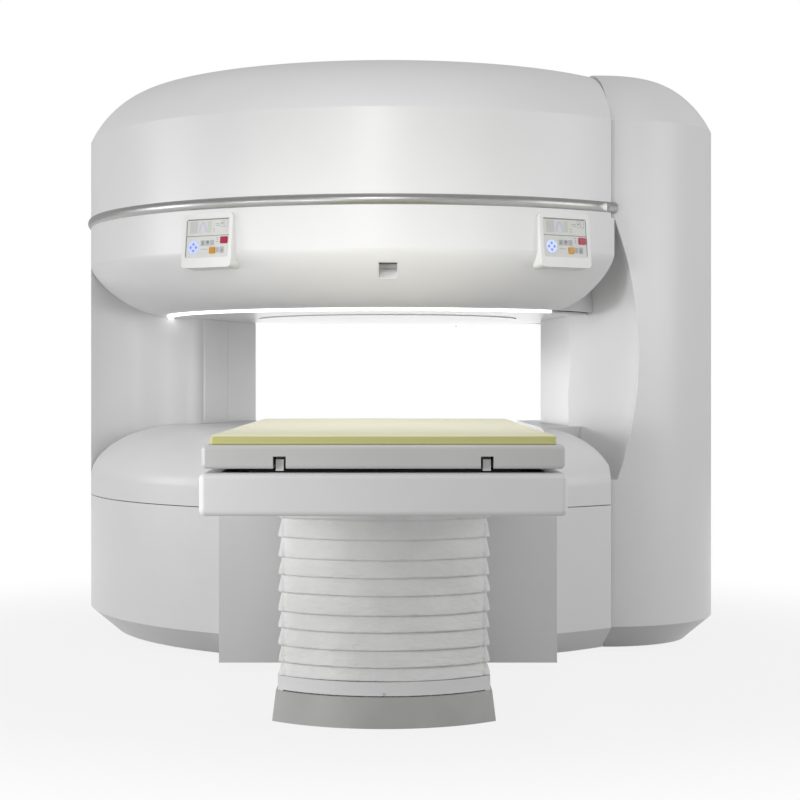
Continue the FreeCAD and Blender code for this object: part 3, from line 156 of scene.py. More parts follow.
def moulded_abs_grey():
    """Vacuum formed ABS of the table foot: mid grey, leathery texture that breaks up the shine."""
    made, tree, shader = surface("abs_formed_grey", shade("#B9B9B7"), 0.5, IOR=1.53)
    drift(tree, shader, shade("#B5B5B3"), shade("#BDBDBB"), 160.0)
    grain(tree, shader, 2.2, 0.06)
    return made


def laminate_top():
    """Gel coated laminate of the table top: smooth and slightly glossier than the covers."""
    made, tree, shader = surface("laminate_gel_coated", shade("#D3D3D2"), 0.34,
                                 IOR=1.52, Coat_Weight=0.2)
    drift(tree, shader, shade("#D1D1D0"), shade("#D6D6D5"), 260.0)
    grain(tree, shader, 6.0, 0.02)
    return made


def anodised_trim():
    """Extruded aluminium, satin anodised: fine lines along the ring stretch its highlight."""
    made, tree, shader = surface("aluminium_satin_anodised", shade("#A9A9A8"), 0.36, 1.0)
    drift(tree, shader, shade("#A4A4A3"), shade("#AFAFAE"), 30.0, (1.0, 1.0, 14.0))
    grain(tree, shader, 9.0, 0.03, (1.0, 1.0, 24.0))
    return made


def opal_diffuser(look):
    """Opal acrylic lit from inside: an even white glow with no visible lamps."""
    made, tree, shader = surface("acrylic_opal_lit", shade("#FFFFFF"), 0.3, IOR=1.49,
                                 Emission_Color=shade("#FFFFFF"))
    haze = add(tree, "ShaderNodeTexNoise", {"Vector": place(tree)}, {"Scale": 1.0 / (60.0 * MM)})
    level = add(tree, "ShaderNodeMapRange", {"Value": haze.outputs[0]},
                {"To Min": 0.96 * look.glow, "To Max": 1.04 * look.glow})
    tree.links.new(level.outputs[0], shader.inputs["Emission Strength"])
    return made


def smoked_lens():
    """Smoked polycarbonate under the centring light: near black with a sharp reflection."""
    made, tree, shader = surface("polycarbonate_smoked", shade("#3A3A3C"), 0.08, IOR=1.58)
    drift(tree, shader, shade("#38383A"), shade("#404042"), 30.0)
    return made


def bellows_cloth():
    """Polyurethane coated polyester: pale grey, a soft sheen on the creases and a fine plain weave.
    Threads are 0.4 mm apart; the weave is drawn 1.6 mm apart so that it shows."""
    made, tree, shader = surface("polyester_coated_woven", shade("#EFEFEE"), 0.46, IOR=1.5,
                                 Sheen_Weight=0.1, Sheen_Roughness=0.4)
    threads = 2.0 * math.pi / (1.6 * MM)
    spot = add(tree, "ShaderNodeTexCoord")
    parts = add(tree, "ShaderNodeSeparateXYZ", {"Vector": spot.outputs["Object"]})
    round_way = add(tree, "ShaderNodeMath", {0: parts.outputs["X"], 1: parts.outputs["Y"]}, operation="ADD")
    warp = add(tree, "ShaderNodeMath", {0: round_way.outputs[0]}, {1: threads}, operation="MULTIPLY")
    weft = add(tree, "ShaderNodeMath", {0: parts.outputs["Z"]}, {1: threads}, operation="MULTIPLY")
    across = add(tree, "ShaderNodeMath", {0: warp.outputs[0]}, operation="SINE")
    along = add(tree, "ShaderNodeMath", {0: weft.outputs[0]}, operation="SINE")
    weave = add(tree, "ShaderNodeMath", {0: across.outputs[0], 1: along.outputs[0]},
                operation="MULTIPLY")
    fine = add(tree, "ShaderNodeBump", {"Height": weave.outputs[0]},
               {"Strength": 0.5, "Distance": 0.05 * MM})
    crease = add(tree, "ShaderNodeTexNoise", {"Vector": place(tree, (1.0, 1.0, 3.0))},
                 {"Scale": 1.0 / (38.0 * MM), "Detail": 3.0, "Distortion": 0.6})
    soft = add(tree, "ShaderNodeBump", {"Height": crease.outputs[0], "Normal": fine.outputs[0]},
               {"Strength": 0.7, "Distance": 6.5 * MM})
    tree.links.new(soft.outputs[0], shader.inputs["Normal"])
    drift(tree, shader, shade("#EBEBEA"), shade("#F3F3F2"), 120.0)
    return made


def pad_vinyl():
    """Calendered vinyl on knitted cloth: a soft highlight over a fine leather grain. The top is a pale cream
    yellow; the sloping sides are painted a darker olive yellow, a painted shade where less light falls.
    The grain is 0.6 mm across; it is drawn 2 mm across so that it shows."""
    made, tree, shader = surface("vinyl_pale_yellow", shade("#F8F4D0"), 0.5, IOR=1.5,
                                 Sheen_Weight=0.15, Sheen_Roughness=0.4)
    top = drift(tree, shader, shade("#F7F3CC"), shade("#FAF6D4"), 180.0)
    spot = add(tree, "ShaderNodeTexCoord")
    facing = add(tree, "ShaderNodeSeparateXYZ", {"Vector": spot.outputs["Normal"]})
    # Painted shade: where the surface turns away from up, a darker olive yellow is mixed in for the sides and
    # front.
    panel = add(tree, "ShaderNodeMapRange", {"Value": facing.outputs["Z"]},
                {"From Min": 0.45, "From Max": 0.75})
    cover = add(tree, "ShaderNodeMix", {0: panel.outputs[0], 7: top.outputs[0]},
                {6: shade("#D0CE8A")}, data_type="RGBA")
    tree.links.new(cover.outputs[2], shader.inputs["Base Color"])
    cells = add(tree, "ShaderNodeTexVoronoi", {"Vector": place(tree)}, {"Scale": 1.0 / (2.0 * MM)},
                feature="SMOOTH_F1")
    bump = add(tree, "ShaderNodeBump", {"Height": cells.outputs["Distance"]},
               {"Strength": 0.35, "Distance": 0.12 * MM})
    tree.links.new(bump.outputs[0], shader.inputs["Normal"])
    return made


def membrane_film():
    """Back printed polyester film of the key panel: cool light grey, fine matt tooth."""
    made, tree, shader = surface("polyester_film_matt", shade("#DCDDDA"), 0.46, IOR=1.6)
    drift(tree, shader, shade("#DADBD8"), shade("#DFE0DD"), 40.0)
    grain(tree, shader, 0.8, 0.01)
    return made


def moulded_key(name, hex_code):
    """Moulded key cap: one deep colour with the shine of a polished mould."""
    made, tree, shader = surface(name, shade(hex_code), 0.3, IOR=1.53)
    grain(tree, shader, 1.0, 0.01)
    cloud = add(tree, "ShaderNodeTexNoise", {"Vector": place(tree)}, {"Scale": 1.0 / (8.0 * MM)})
    tint = add(tree, "ShaderNodeMix", {0: cloud.outputs[0]},
               {6: dimmed(hex_code, 0.86), 7: shade(hex_code)}, data_type="RGBA")
    tree.links.new(tint.outputs[2], shader.inputs["Base Color"])
    return made


def backlit_lens():
    """Blue lit polycarbonate disc: it glows a little, more in the middle of each moulded cell."""
    made, tree, shader = surface("polycarbonate_backlit_blue", shade("#C3CFF5"), 0.2, IOR=1.58,
                                 Emission_Color=shade("#A8BAF8"))
    cells = add(tree, "ShaderNodeTexVoronoi", {"Vector": place(tree)}, {"Scale": 1.0 / (9.0 * MM)})
    level = add(tree, "ShaderNodeMapRange", {"Value": cells.outputs["Distance"]},
                {"To Min": 0.5, "To Max": 0.22})
    tree.links.new(level.outputs[0], shader.inputs["Emission Strength"])
    return made


def print_ink(name, hex_code):
    """Screen printed ink on the film: flat colour, a trace uneven."""
    made, tree, shader = surface(name, shade(hex_code), 0.5)
    drift(tree, shader, dimmed(hex_code, 0.93), shade(hex_code), 5.0)
    return made


def acetal_white():
    """Machined acetal of glides, runners and rail covers: waxy white with faint cutter lines."""
    made, tree, shader = surface("acetal_machined_white", shade("#E4E4E0"), 0.38, IOR=1.48)
    drift(tree, shader, shade("#E0E0DC"), shade("#E8E8E4"), 60.0)
    grain(tree, shader, 3.0, 0.02, (6.0, 1.0, 1.0))
    return made


def dark_anodised():
    """Black anodised aluminium of the carriage: matt; its near black colour is also a painted shade that
    makes the gap under the top read dark.
    """
    made, tree, shader = surface("aluminium_black_anodised", shade("#3C3C3D"), 0.48, 0.9)
    drift(tree, shader, shade("#37373A"), shade("#434345"), 80.0)
    grain(tree, shader, 4.0, 0.02, (8.0, 1.0, 1.0))
    return made


def milled_aluminium():
    """Milled aluminium of lift and frame: bright, with lines from the cutter."""
    made, tree, shader = surface("aluminium_milled", shade("#C4C5C6"), 0.34, 1.0)
    drift(tree, shader, shade("#BDBEC0"), shade("#CBCCCD"), 60.0)
    grain(tree, shader, 3.0, 0.03, (1.0, 8.0, 1.0))
    return made


def ground_steel():
    """Ground steel of rails and shafts: bright and tight grained."""
    made, tree, shader = surface("steel_ground", shade("#B6B7B9"), 0.24, 1.0)
    drift(tree, shader, shade("#AFB0B2"), shade("#BDBEC0"), 30.0)
    grain(tree, shader, 1.2, 0.01, (1.0, 10.0, 10.0))
    return made


def welded_stainless():
    """Rolled stainless plate of the vessels: broad brushed bands round the drum."""
    made, tree, shader = surface("stainless_rolled", shade("#B4B5B6"), 0.38, 1.0)
    drift(tree, shader, shade("#A9AAAB"), shade("#BEBFC0"), 240.0, (1.0, 1.0, 5.0))
    grain(tree, shader, 6.0, 0.03, (1.0, 1.0, 12.0))
    return made


def iron_paint():
    """Alkyd enamel on cast iron: dark grey, slightly lumpy under the paint."""
    made, tree, shader = surface("alkyd_enamel_on_iron", shade("#6E7073"), 0.45)
    drift(tree, shader, shade("#686A6D"), shade("#747679"), 200.0)
    grain(tree, shader, 14.0, 0.25)
    return made


def primer():
    """Zinc primer on steel plate: flat mid grey, dry to the eye."""
    made, tree, shader = surface("zinc_primer_on_steel", shade("#7E8082"), 0.7)
    drift(tree, shader, shade("#76787A"), shade("#86888A"), 120.0)
    grain(tree, shader, 2.0, 0.05)
    return made


def potted_winding():
    """Epoxy potted copper: amber brown, glossy, with a cloud of filler."""
    made, tree, shader = surface("epoxy_potted_copper", shade("#8A5A34"), 0.28, IOR=1.55)
    drift(tree, shader, shade("#7C4F2C"), shade("#96653D"), 70.0)
    grain(tree, shader, 8.0, 0.1)
    return made


def coil_board():
    """Glass epoxy board with its green mask."""
    made, tree, shader = surface("glass_epoxy_green", shade("#3F7A55"), 0.35, IOR=1.55)
    drift(tree, shader, shade("#38704D"), shade("#47845D"), 50.0)
    grain(tree, shader, 1.5, 0.02)
    return made


def tyre_rubber():
    """Moulded neoprene tyre: dull black."""
    made, tree, shader = surface("neoprene_moulded_and_painted_shadow", shade("#2B2B2B"), 0.75)
    drift(tree, shader, shade("#262626"), shade("#303030"), 12.0)
    grain(tree, shader, 1.0, 0.05)
    return made


def dress(nodes, material):
    """Give CAD nodes a finish."""
    for name in nodes:
        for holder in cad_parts[name].material_slots:
            holder.material = material


# ---------------------------------------------------------------- mesh helpers

def to_object(name, mesh, material, body):
    """Link a finished mesh as a piece that rides on a body."""
    mesh.materials.append(material)
    piece = bpy.data.objects.new(name, mesh)
    bpy.context.scene.collection.objects.link(piece)
    if body:
        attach(piece, body)
    return piece


def ring_mesh(name, rings):
    """Skin through closed rings of points."""
    count = len(rings[0])
    points = [p for ring in rings for p in ring]
    faces = []
    for n in range(len(rings) - 1):
        for k in range(count):
            a = n * count + k
            b = n * count + (k + 1) % count
            faces.append((a, b, b + count, a + count))
    mesh = bpy.data.meshes.new(name)
    mesh.from_pydata(points, [], faces)
    made = bmesh.new()
    made.from_mesh(mesh)
    bmesh.ops.recalc_face_normals(made, faces=made.faces)
    made.to_mesh(mesh)
    made.free()
    mesh.shade_smooth()
    return mesh


def applied(piece):
    """Replace a piece's mesh by what its modifiers make of it."""
    graph = bpy.context.evaluated_depsgraph_get()
    mesh = bpy.data.meshes.new_from_object(piece.evaluated_get(graph))
    piece.modifiers.clear()
    piece.data = mesh


def rounded(left, right, low, high, radius, steps=4):
    """Rectangle with round corners, counter-clockwise."""
    points = []
    for turn, (x, y) in enumerate(((right, low), (right, high), (left, high), (left, low))):
        cx = x + (radius if x == left else -radius)
        cy = y + (radius if y == low else -radius)
        for n in range(steps + 1):
            angle = math.radians(90.0 * (turn - 1) + 90.0 * n / steps)
            points.append((cx + radius * math.cos(angle), cy + radius * math.sin(angle)))
    return points


def around(cx, cy, rx, ry, start=0.0, end=360.0, steps=28):
    """Points on an oval, or on a part of it."""
    count = steps if abs(end - start) >= 360.0 else steps + 1
    return [(cx + rx * math.cos(math.radians(start + (end - start) * n / steps)),
             cy + ry * math.sin(math.radians(start + (end - start) * n / steps))) for n in range(count)]


def stamp(made, outline, low, high, inner=None):
    """Add one closed plate to a mesh in work: a filled outline, or the band to an inner outline."""
    loops = [outline] + ([inner] if inner else [])
    rows = [[[made.verts.new((x, y, z)) for x, y in loop] for z in (low, high)] for loop in loops]
    for flip, (bottom, top) in enumerate(rows):
        for n in range(len(bottom)):
            side = [bottom[n - 1], bottom[n], top[n], top[n - 1]]
            made.faces.new(side if not flip else side[::-1])
    for level in (0, 1):
        outer = rows[0][level]
        if not inner:
            made.faces.new(outer if level else outer[::-1])
            continue
        hole = rows[1][level]
        for n in range(len(outer)):
            face = [outer[n - 1], outer[n], hole[n], hole[n - 1]]
            made.faces.new(face if level else face[::-1])


def stamped(name, plates, matrix, material, body):
    """Piece made of plates given in millimetres: outline, low, high and an inner outline if any."""
    made = bmesh.new()
    for plate in plates:
        stamp(made, *plate)
    made.transform(matrix @ Matrix.Scale(MM, 4))
    bmesh.ops.recalc_face_normals(made, faces=made.faces)
    mesh = bpy.data.meshes.new(name)
    made.to_mesh(mesh)
    made.free()
    to_object(name, mesh, material, body)


# ---------------------------------------------------------------- settings

class CoverLook(bpy.types.PropertyGroup):
    roughness: FloatProperty(name="Roughness", description="Roughness of the cover paint", default=0.4)
    peel: FloatProperty(name="Peel", description="Spacing of the paint's relief in millimetres", default=3.0)
    glow: FloatProperty(name="Glow", description="Strength of the lit strip", default=1.9)


class BellowsShape(bpy.types.PropertyGroup):
    width: FloatProperty(name="Width", description="Across the pleat tips", default=0.649, unit="LENGTH")
    front: FloatProperty(name="Front", description="Front of the bow", default=-2.318, unit="LENGTH")
    rear: FloatProperty(name="Rear", description="Rear face", default=-1.430, unit="LENGTH")
    bow: FloatProperty(name="Bow", description="Rise of the bowed front", default=0.130, unit="LENGTH")
    fold: FloatProperty(name="Fold", description="Depth of a pleat", default=0.012, unit="LENGTH")
    cloth: FloatProperty(name="Cloth", description="Thickness of the cloth", default=0.0016, unit="LENGTH")
    corner: FloatProperty(name="Corner", description="Softening of the corners", default=0.026, unit="LENGTH")
    gather: FloatProperty(name="Gather", description="Depth of the creases at the corners",
                          default=0.0075, unit="LENGTH")
    wave: FloatProperty(name="Wave", description="Unevenness of the pleats", default=0.0028, unit="LENGTH")


class PadShape(bpy.types.PropertyGroup):
    cell: FloatProperty(name="Cell", description="Spacing of the cloth's points",
                        default=0.014, unit="LENGTH")
    draw: FloatProperty(name="Draw", description="How far the sides draw in", default=0.003, unit="LENGTH")
    edge: FloatProperty(name="Edge", description="Radius of the upper edge", default=0.008, unit="LENGTH")
    cap: FloatProperty(name="Cap", description="Furthest a point may move in the simulation",
                       default=0.005, unit="LENGTH")


class PanelPrint(bpy.types.PropertyGroup):
    left: FloatProperty(name="Left", description="Plan angle of the left panel off the front",
                        default=math.radians(-31.7), subtype="ANGLE")
    right: FloatProperty(name="Right", description="Plan angle of the right panel off the front",
                         default=math.radians(31.0), subtype="ANGLE")
    lean: FloatProperty(name="Lean", description="Slope of the face off upright",
                        default=math.atan2(19.0, 199.0), subtype="ANGLE")
    reach: FloatProperty(name="Reach", description="Lower edge of the face off the magnet's axis",
                         default=1.26547, unit="LENGTH")
    height: FloatProperty(name="Height", description="Lower edge of the face above the floor",
                          default=1.478, unit="LENGTH")
    film: FloatProperty(name="Film", description="Depth of the film under the housing's face, millimetres",
                        default=2.5)
    lens: FloatProperty(name="Lens", description="Depth of the round lens under that face, millimetres",
                        default=2.0)
    ink: FloatProperty(name="Ink", description="Height of the print over what it lies on, millimetres",
                       default=0.15)


class StageSetup(bpy.types.PropertyGroup):
    eye: FloatVectorProperty(name="Eye", description="Place of the camera", default=(0.0, -7.65, 1.03),
                             subtype="TRANSLATION", unit="LENGTH")
    lens: FloatProperty(name="Lens", description="Focal length in millimetres", default=81.0)
    key: FloatProperty(name="Key", description="Power of the lamp on the left in watts", default=72.0)
    fill: FloatProperty(name="Fill", description="Power of the lamp on the right in watts", default=44.0)
    side: FloatProperty(name="Side", description="Power of the lamp left of the table", default=18.0)
    crown: FloatProperty(name="Crown", description="Power of the spot on the upper cover", default=238.0)
    column: FloatProperty(name="Column", description="Power of the spot on the right column", default=560.0)
    post: FloatProperty(name="Post", description="Power of the spot on the left post", default=160.0)
    top: FloatProperty(name="Top", description="Power of the spot above the table top", default=130.0)
    rear: FloatProperty(name="Rear", description="Power of the low lamp behind the gap", default=20.0)
    sky: FloatProperty(name="Sky", description="Level of the even light from all round", default=0.53)


# ---------------------------------------------------------------- operators

class SCANNER_OT_covers(bpy.types.Operator):
    """Finish the moulded covers, the trim ring, the lit strip and the light port"""
    bl_idname = "scanner.covers"
    bl_label = "Covers"

    def execute(self, context):
        look = context.scene.scanner_covers
        dress(("lower_drum_cover", "left_shoulder_cover", "right_shoulder_cover", "right_floor_cover",
               "rear_sill_cover", "channel_tray", "front_fairing", "upper_drum_cover", "roof_cover",
               "skirt_cover", "upper_pole_cover", "upper_coil_cover", "right_column_cover",
               "right_inner_cover", "left_post_cover", "left_inner_cover", "light_port", "table_body"),
              satin_cover_paint(look))
        dress(("trim_ring",), anodised_trim())
        dress(("light_ring",), opal_diffuser(look))
        dress(("light_port_lens",), smoked_lens())
        return {"FINISHED"}


class SCANNER_OT_magnet(bpy.types.Operator):
    """Finish the magnet inside the covers"""
    bl_idname = "scanner.magnet"
    bl_label = "Magnet"

    def execute(self, context):
        dress(("lower_vessel", "upper_vessel", "cold_head"), welded_stainless())
        dress(("left_support_post", "right_support_post", "lower_pole_piece", "upper_pole_piece"),
              iron_paint())
        dress(("floor_plate", "magnet_feet", "base_anchor_plate"), primer())
        dress(("lower_gradient_coil", "upper_gradient_coil"), potted_winding())
        dress(("lower_rf_coil", "upper_rf_coil"), coil_board())
        return {"FINISHED"}


class SCANNER_OT_table(bpy.types.Operator):
    """Finish the table's hard pieces"""
    bl_idname = "scanner.table"
    bl_label = "Table"

    def execute(self, context):
        dress(("table_base",), moulded_abs_grey())
        dress(("table_top",), laminate_top())
        dress(("channel_glides", "runner_pads", "travel_rails"), acetal_white())
        dress(("carriage",), dark_anodised())
        dress(("lift_guides", "lift_columns", "lift_actuator", "body_frame"), milled_aluminium())
        dress(("lift_rod", "cross_rails", "drive_axle"), ground_steel())
        dress(("drive_wheel",), tyre_rubber())
        dress(("bellows_clamp",), bpy.data.materials["polyurethane_satin_sprayed"])
        return {"FINISHED"}


def foot_outline(shape, centre, spacing=0.004):
    """Even points round the bellows, with its corners softened, and the outward direction at each."""
    half = shape.width / 2.0
    corner_y = shape.front + shape.bow
    radius = (half ** 2 + shape.bow ** 2) / (2.0 * shape.bow)
    spread = math.asin(half / radius)
    count = int(2.0 * radius * spread / spacing)
    points = [Vector((centre + radius * math.sin(spread * (2.0 * n / count - 1.0)),
                      shape.front + radius - radius * math.cos(spread * (2.0 * n / count - 1.0))))
              for n in range(count)]
    corners = [Vector((centre + half, corner_y)), Vector((centre + half, shape.rear)),
               Vector((centre - half, shape.rear)), Vector((centre - half, corner_y))]
    for a, b in zip(corners[:-1], corners[1:]):
        steps = int((b - a).length / spacing)
        points += [a.lerp(b, n / steps) for n in range(steps)]
    reach = int(shape.corner / spacing)
    for _ in range(2):
        points = [sum((points[(n + k) % len(points)] for k in range(-reach, reach + 1)), Vector((0.0, 0.0)))
                  / (2 * reach + 1) for n in range(len(points))]
    outward = []
    for n in range(len(points)):
        along = points[(n + 1) % len(points)] - points[n - 1]
        outward.append(Vector((along.y, -along.x)).normalized())
    return points, outward


# Heights of the pleats from the table body down, in millimetres; the body hides part of the first one.
PLEAT_HEIGHTS = (71.0, 59.0, 60.0, 53.0, 53.0, 59.0, 50.0, 53.0, 50.0, 40.0)
# One pleat from its upper edge down: share of the height, share of the flare. The small dip is a seam.
PLEAT = ((0.0, 0.0), (0.045, 0.12), (0.07, 0.09), (0.095, 0.17), (0.3, 0.42), (0.5, 0.62), (0.7, 0.82),
         (0.86, 0.97), (0.925, 1.0), (0.955, 0.8), (0.975, 0.3))
# Front corners, in metres. The two creases are CREASE_TOP off the corner at the upper edge and CREASE_SPREAD
# more at the lip. The bulge between them has these shares of their depth and of their way off the corner.
CREASE_TOP, CREASE_SPREAD, CREASE_WIDTH = 0.004, 0.022, 0.0045
BULGE_RISE, BULGE_WIDTH = 0.55, 0.6
# The cloth puckers this far round the corner and this deep.
PUCKER_REACH, PUCKER_DEPTH = 0.05, 0.0012
# All points are kept this near to a front corner, and every third one elsewhere.
CLOSE_REACH, SPARSE_STEP = 0.06, 3
# A front corner is looked for at least this far before the rear face.
REAR_PART = 0.3
# How far a pleat's edges wander up and down, and how far the cloth stays inside the solid.
EDGE_WAVE, INSIDE = 0.0024, 0.0002


class SCANNER_OT_bellows(bpy.types.Operator):
    """Make the pleated cloth between the foot and the table body"""
    bl_idname = "scanner.bellows"
    bl_label = "Bellows"

    def execute(self, context):
        shape = context.scene.scanner_bellows
        low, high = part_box("bellows")
        centre = (low.x + high.x) / 2.0
        outline = self.spaced(shape, centre)
        scale = (high.z - low.z) / sum(PLEAT_HEIGHTS)
        rings = []
        top = high.z
        for pleat, height in enumerate(PLEAT_HEIGHTS):
            drop = height * scale
            for t, flare in PLEAT:
                rings.append(self.ring(shape, outline, pleat, t, flare, top - t * drop))
            top -= drop
        rings.append(self.ring(shape, outline, len(PLEAT_HEIGHTS), 0.0, 0.0, low.z))
        mesh = ring_mesh("bellows_cloth", rings)
        piece = to_object("bellows_cloth", mesh, bellows_cloth(), None)
        thick = piece.modifiers.new("cloth", "SOLIDIFY")
        thick.thickness = shape.cloth
        thick.offset = -1.0
        applied(piece)
        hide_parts("bellows")
        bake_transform(piece)
        return {"FINISHED"}

    def spaced(self, shape, centre):
        """Points, outward directions and ways from the nearer front corner, close together there."""
        points, outward = foot_outline(shape, centre)

        def corner_at(side):
            corner = Vector((centre + side * shape.width / 2.0, shape.front + shape.bow))
            near = [n for n, point in enumerate(points)
                    if side * (point.x - centre) > 0.0 and point.y < shape.rear - REAR_PART]
            return min(near, key=lambda n: (points[n] - corner).length)

        right, left = corner_at(1.0), corner_at(-1.0)
        kept = []
        for n, (point, out) in enumerate(zip(points, outward)):
            corner = right if point.x > centre else left
            side = 1.0 if (n > corner) == (corner == right) or n < SPARSE_STEP else -1.0
            away = (point - points[corner]).length * side
            if abs(away) < CLOSE_REACH or n % SPARSE_STEP == 0:
                kept.append((point, out, away))
        return kept

    def ring(self, shape, outline, pleat, t, flare, z):
        """One level of the cloth: it flares out to the lower lip of its pleat, then tucks in. At the front
        corners two creases run from the upper edge apart to the lip, with a drop shaped bulge between."""
        ring = []
        for point, out, away in outline:
            # Slow waves, slanting folds and fine puckers, each different from pleat to pleat.
            wave = noise.noise(Vector((point.x * 5.0, point.y * 5.0, pleat * 3.7)))
            slant = noise.noise(Vector((point.x * 9.0 + z * 14.0, point.y * 9.0, pleat * 1.9)))
            pucker = noise.noise(Vector((point.x * 60.0, point.y * 60.0, pleat * 5.1 + z * 30.0)))
            part = CREASE_TOP + CREASE_SPREAD * t
            crease = math.exp(-((abs(away) - part) / CREASE_WIDTH) ** 2)
            bulge = BULGE_RISE * math.exp(-(away / (BULGE_WIDTH * part)) ** 2)
            held = math.exp(-(away / PUCKER_REACH) ** 2)
            size = -shape.fold * (1.0 - flare) - shape.cloth
            size += flare * shape.wave * (wave + 0.5 * slant)
            size += shape.gather * flare ** 0.5 * (bulge - crease)
            size += held * pucker * PUCKER_DEPTH
            spot = point + out * min(size, -INSIDE)
            ring.append((spot.x, spot.y, z + EDGE_WAVE * wave * flare if t else z))
        return ring


# The pad, in metres: rise of the top in its middle, unevenness of the cover, height of the part held still.
PAD_CROWN, PAD_WAVE, PAD_HELD = 0.004, 0.0008, 0.002
# Shares of the edge radius by which the upper edge draws in and sinks, and how square the pad is in plan.
EDGE_IN, EDGE_DOWN, PAD_SQUARE = 0.35, 0.3, 40
# Cover over the foam: a light cloth under a slight pressure, and the frames it gets to settle.
PAD_CLOTH = {"quality": 5, "mass": 0.6, "tension_stiffness": 40.0, "compression_stiffness": 40.0,
             "bending_stiffness": 4.0, "use_pressure": True, "uniform_pressure_force": 1.2}
SETTLE_FRAMES = 12


class SCANNER_OT_mattress(bpy.types.Operator):
    """Make the foam pad: crowned cover, drawn in sides and a rounded upper edge"""
    bl_idname = "scanner.mattress"
    bl_label = "Mattress"

    def execute(self, context):
        shape = context.scene.scanner_pad
        low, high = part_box("mattress")
        piece = to_object("mattress_pad", self.block(shape, low, high), pad_vinyl(), None)
        self.puff(piece, shape)
        soft = piece.modifiers.new("soft", "SUBSURF")
        soft.levels = 1
        soft.render_levels = 1
        applied(piece)
        piece.data.shade_smooth()
        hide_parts("mattress")
        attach(piece, "patient_top")
        return {"FINISHED"}

    def block(self, shape, low, high):
        """Closed grid of the pad: crowned on top, flat below, drawn in at the middle of its sides."""
        size = high - low
        mid = (low + high) / 2.0
        counts = (int(size.x / shape.cell), int(size.y / shape.cell), 4)
        block = bmesh.new()
        grid = {}

        def vertex(i, j, k):
            if (i, j, k) not in grid:
                u = 2.0 * i / counts[0] - 1.0
                v = 2.0 * j / counts[1] - 1.0
                w = k / counts[2]
                grid[i, j, k] = block.verts.new(self.spot(shape, size, mid, u, v, w))
            return grid[i, j, k]

        for i in range(counts[0]):
            for j in range(counts[1]):
                for k in (0, counts[2]):
                    block.faces.new([vertex(i, j, k), vertex(i + 1, j, k),
                                     vertex(i + 1, j + 1, k), vertex(i, j + 1, k)])
        for k in range(counts[2]):
            for i in range(counts[0]):
                for j in (0, counts[1]):
                    block.faces.new([vertex(i, j, k), vertex(i + 1, j, k),
                                     vertex(i + 1, j, k + 1), vertex(i, j, k + 1)])
            for j in range(counts[1]):
                for i in (0, counts[0]):
                    block.faces.new([vertex(i, j, k), vertex(i, j + 1, k),
                                     vertex(i, j + 1, k + 1), vertex(i, j, k + 1)])
        bmesh.ops.recalc_face_normals(block, faces=block.faces)
        mesh = bpy.data.meshes.new("mattress_pad")
        block.to_mesh(mesh)
        block.free()
        mesh.shade_smooth()
        return mesh

    def spot(self, shape, size, mid, u, v, w):
        """Place of one grid point: u across, v along, w up."""
        on_top = w == 1.0
        draw = shape.draw * (1.0 - (2.0 * w - 1.0) ** 2) + shape.edge * EDGE_IN * on_top
        x = mid.x + u * (size.x / 2.0 - draw * abs(u) ** PAD_SQUARE)
        y = mid.y + v * (size.y / 2.0 - draw * abs(v) ** PAD_SQUARE)
        near = min(size.x / 2.0 * (1.0 - abs(u)), size.y / 2.0 * (1.0 - abs(v)))
        fall = max(0.0, 1.0 - near / shape.edge)
        rise = (size.z - PAD_CROWN) * w + PAD_CROWN * (1.0 - u * u) * (1.0 - v ** 6) * on_top
        rise -= shape.edge * EDGE_DOWN * fall ** 2 * on_top
        wave = PAD_WAVE * noise.noise(Vector((x * 6.0, y * 6.0, 0.0))) * on_top
        return (x, y, mid.z - size.z / 2.0 + rise + wave)

    def puff(self, piece, shape):
        """Let the cover settle over the foam under a light pressure, with a cap on each point's way."""
        rest = [v.co.copy() for v in piece.data.vertices]
        group = piece.vertex_groups.new(name="held")
        floor = min(co.z for co in rest) + PAD_HELD
        group.add([n for n, co in enumerate(rest) if co.z < floor], 1.0, "REPLACE")
        cloth = piece.modifiers.new("cover", "CLOTH")
        for key, value in PAD_CLOTH.items():
            setattr(cloth.settings, key, value)
        cloth.settings.vertex_group_mass = group.name
        cloth.settings.effector_weights.gravity = 0.0
        for frame_number in range(1, SETTLE_FRAMES + 1):
            bpy.context.scene.frame_set(frame_number)
        graph = bpy.context.evaluated_depsgraph_get()
        settled = [v.co.copy() for v in piece.evaluated_get(graph).data.vertices]
        piece.modifiers.clear()
        piece.vertex_groups.clear()
        bpy.context.scene.frame_set(1)
        for vertex, start, end in zip(piece.data.vertices, rest, settled):
            way = end - start
            if way.length > shape.cap:
                way = way.normalized() * shape.cap
            vertex.co = start + way


class SCANNER_OT_panels(bpy.types.Operator):
    """Finish the control panels"""
    bl_idname = "scanner.panels"
    bl_label = "Control panels"

    def execute(self, context):
        dress(("left_panel_housing", "right_panel_housing"), moulded_abs_white())
        dress(("panel_faces",), membrane_film())
        dress(("panel_dials",), backlit_lens())
        dress(("left_stop_key", "right_stop_key"), moulded_key("abs_polished_red", "#B01040"))
        dress(("left_release_key", "right_release_key"), moulded_key("abs_polished_orange", "#D9963C"))
        return {"FINISHED"}


# How deep the print reaches into what it lies on, in millimetres.
INK_ROOT = 0.4


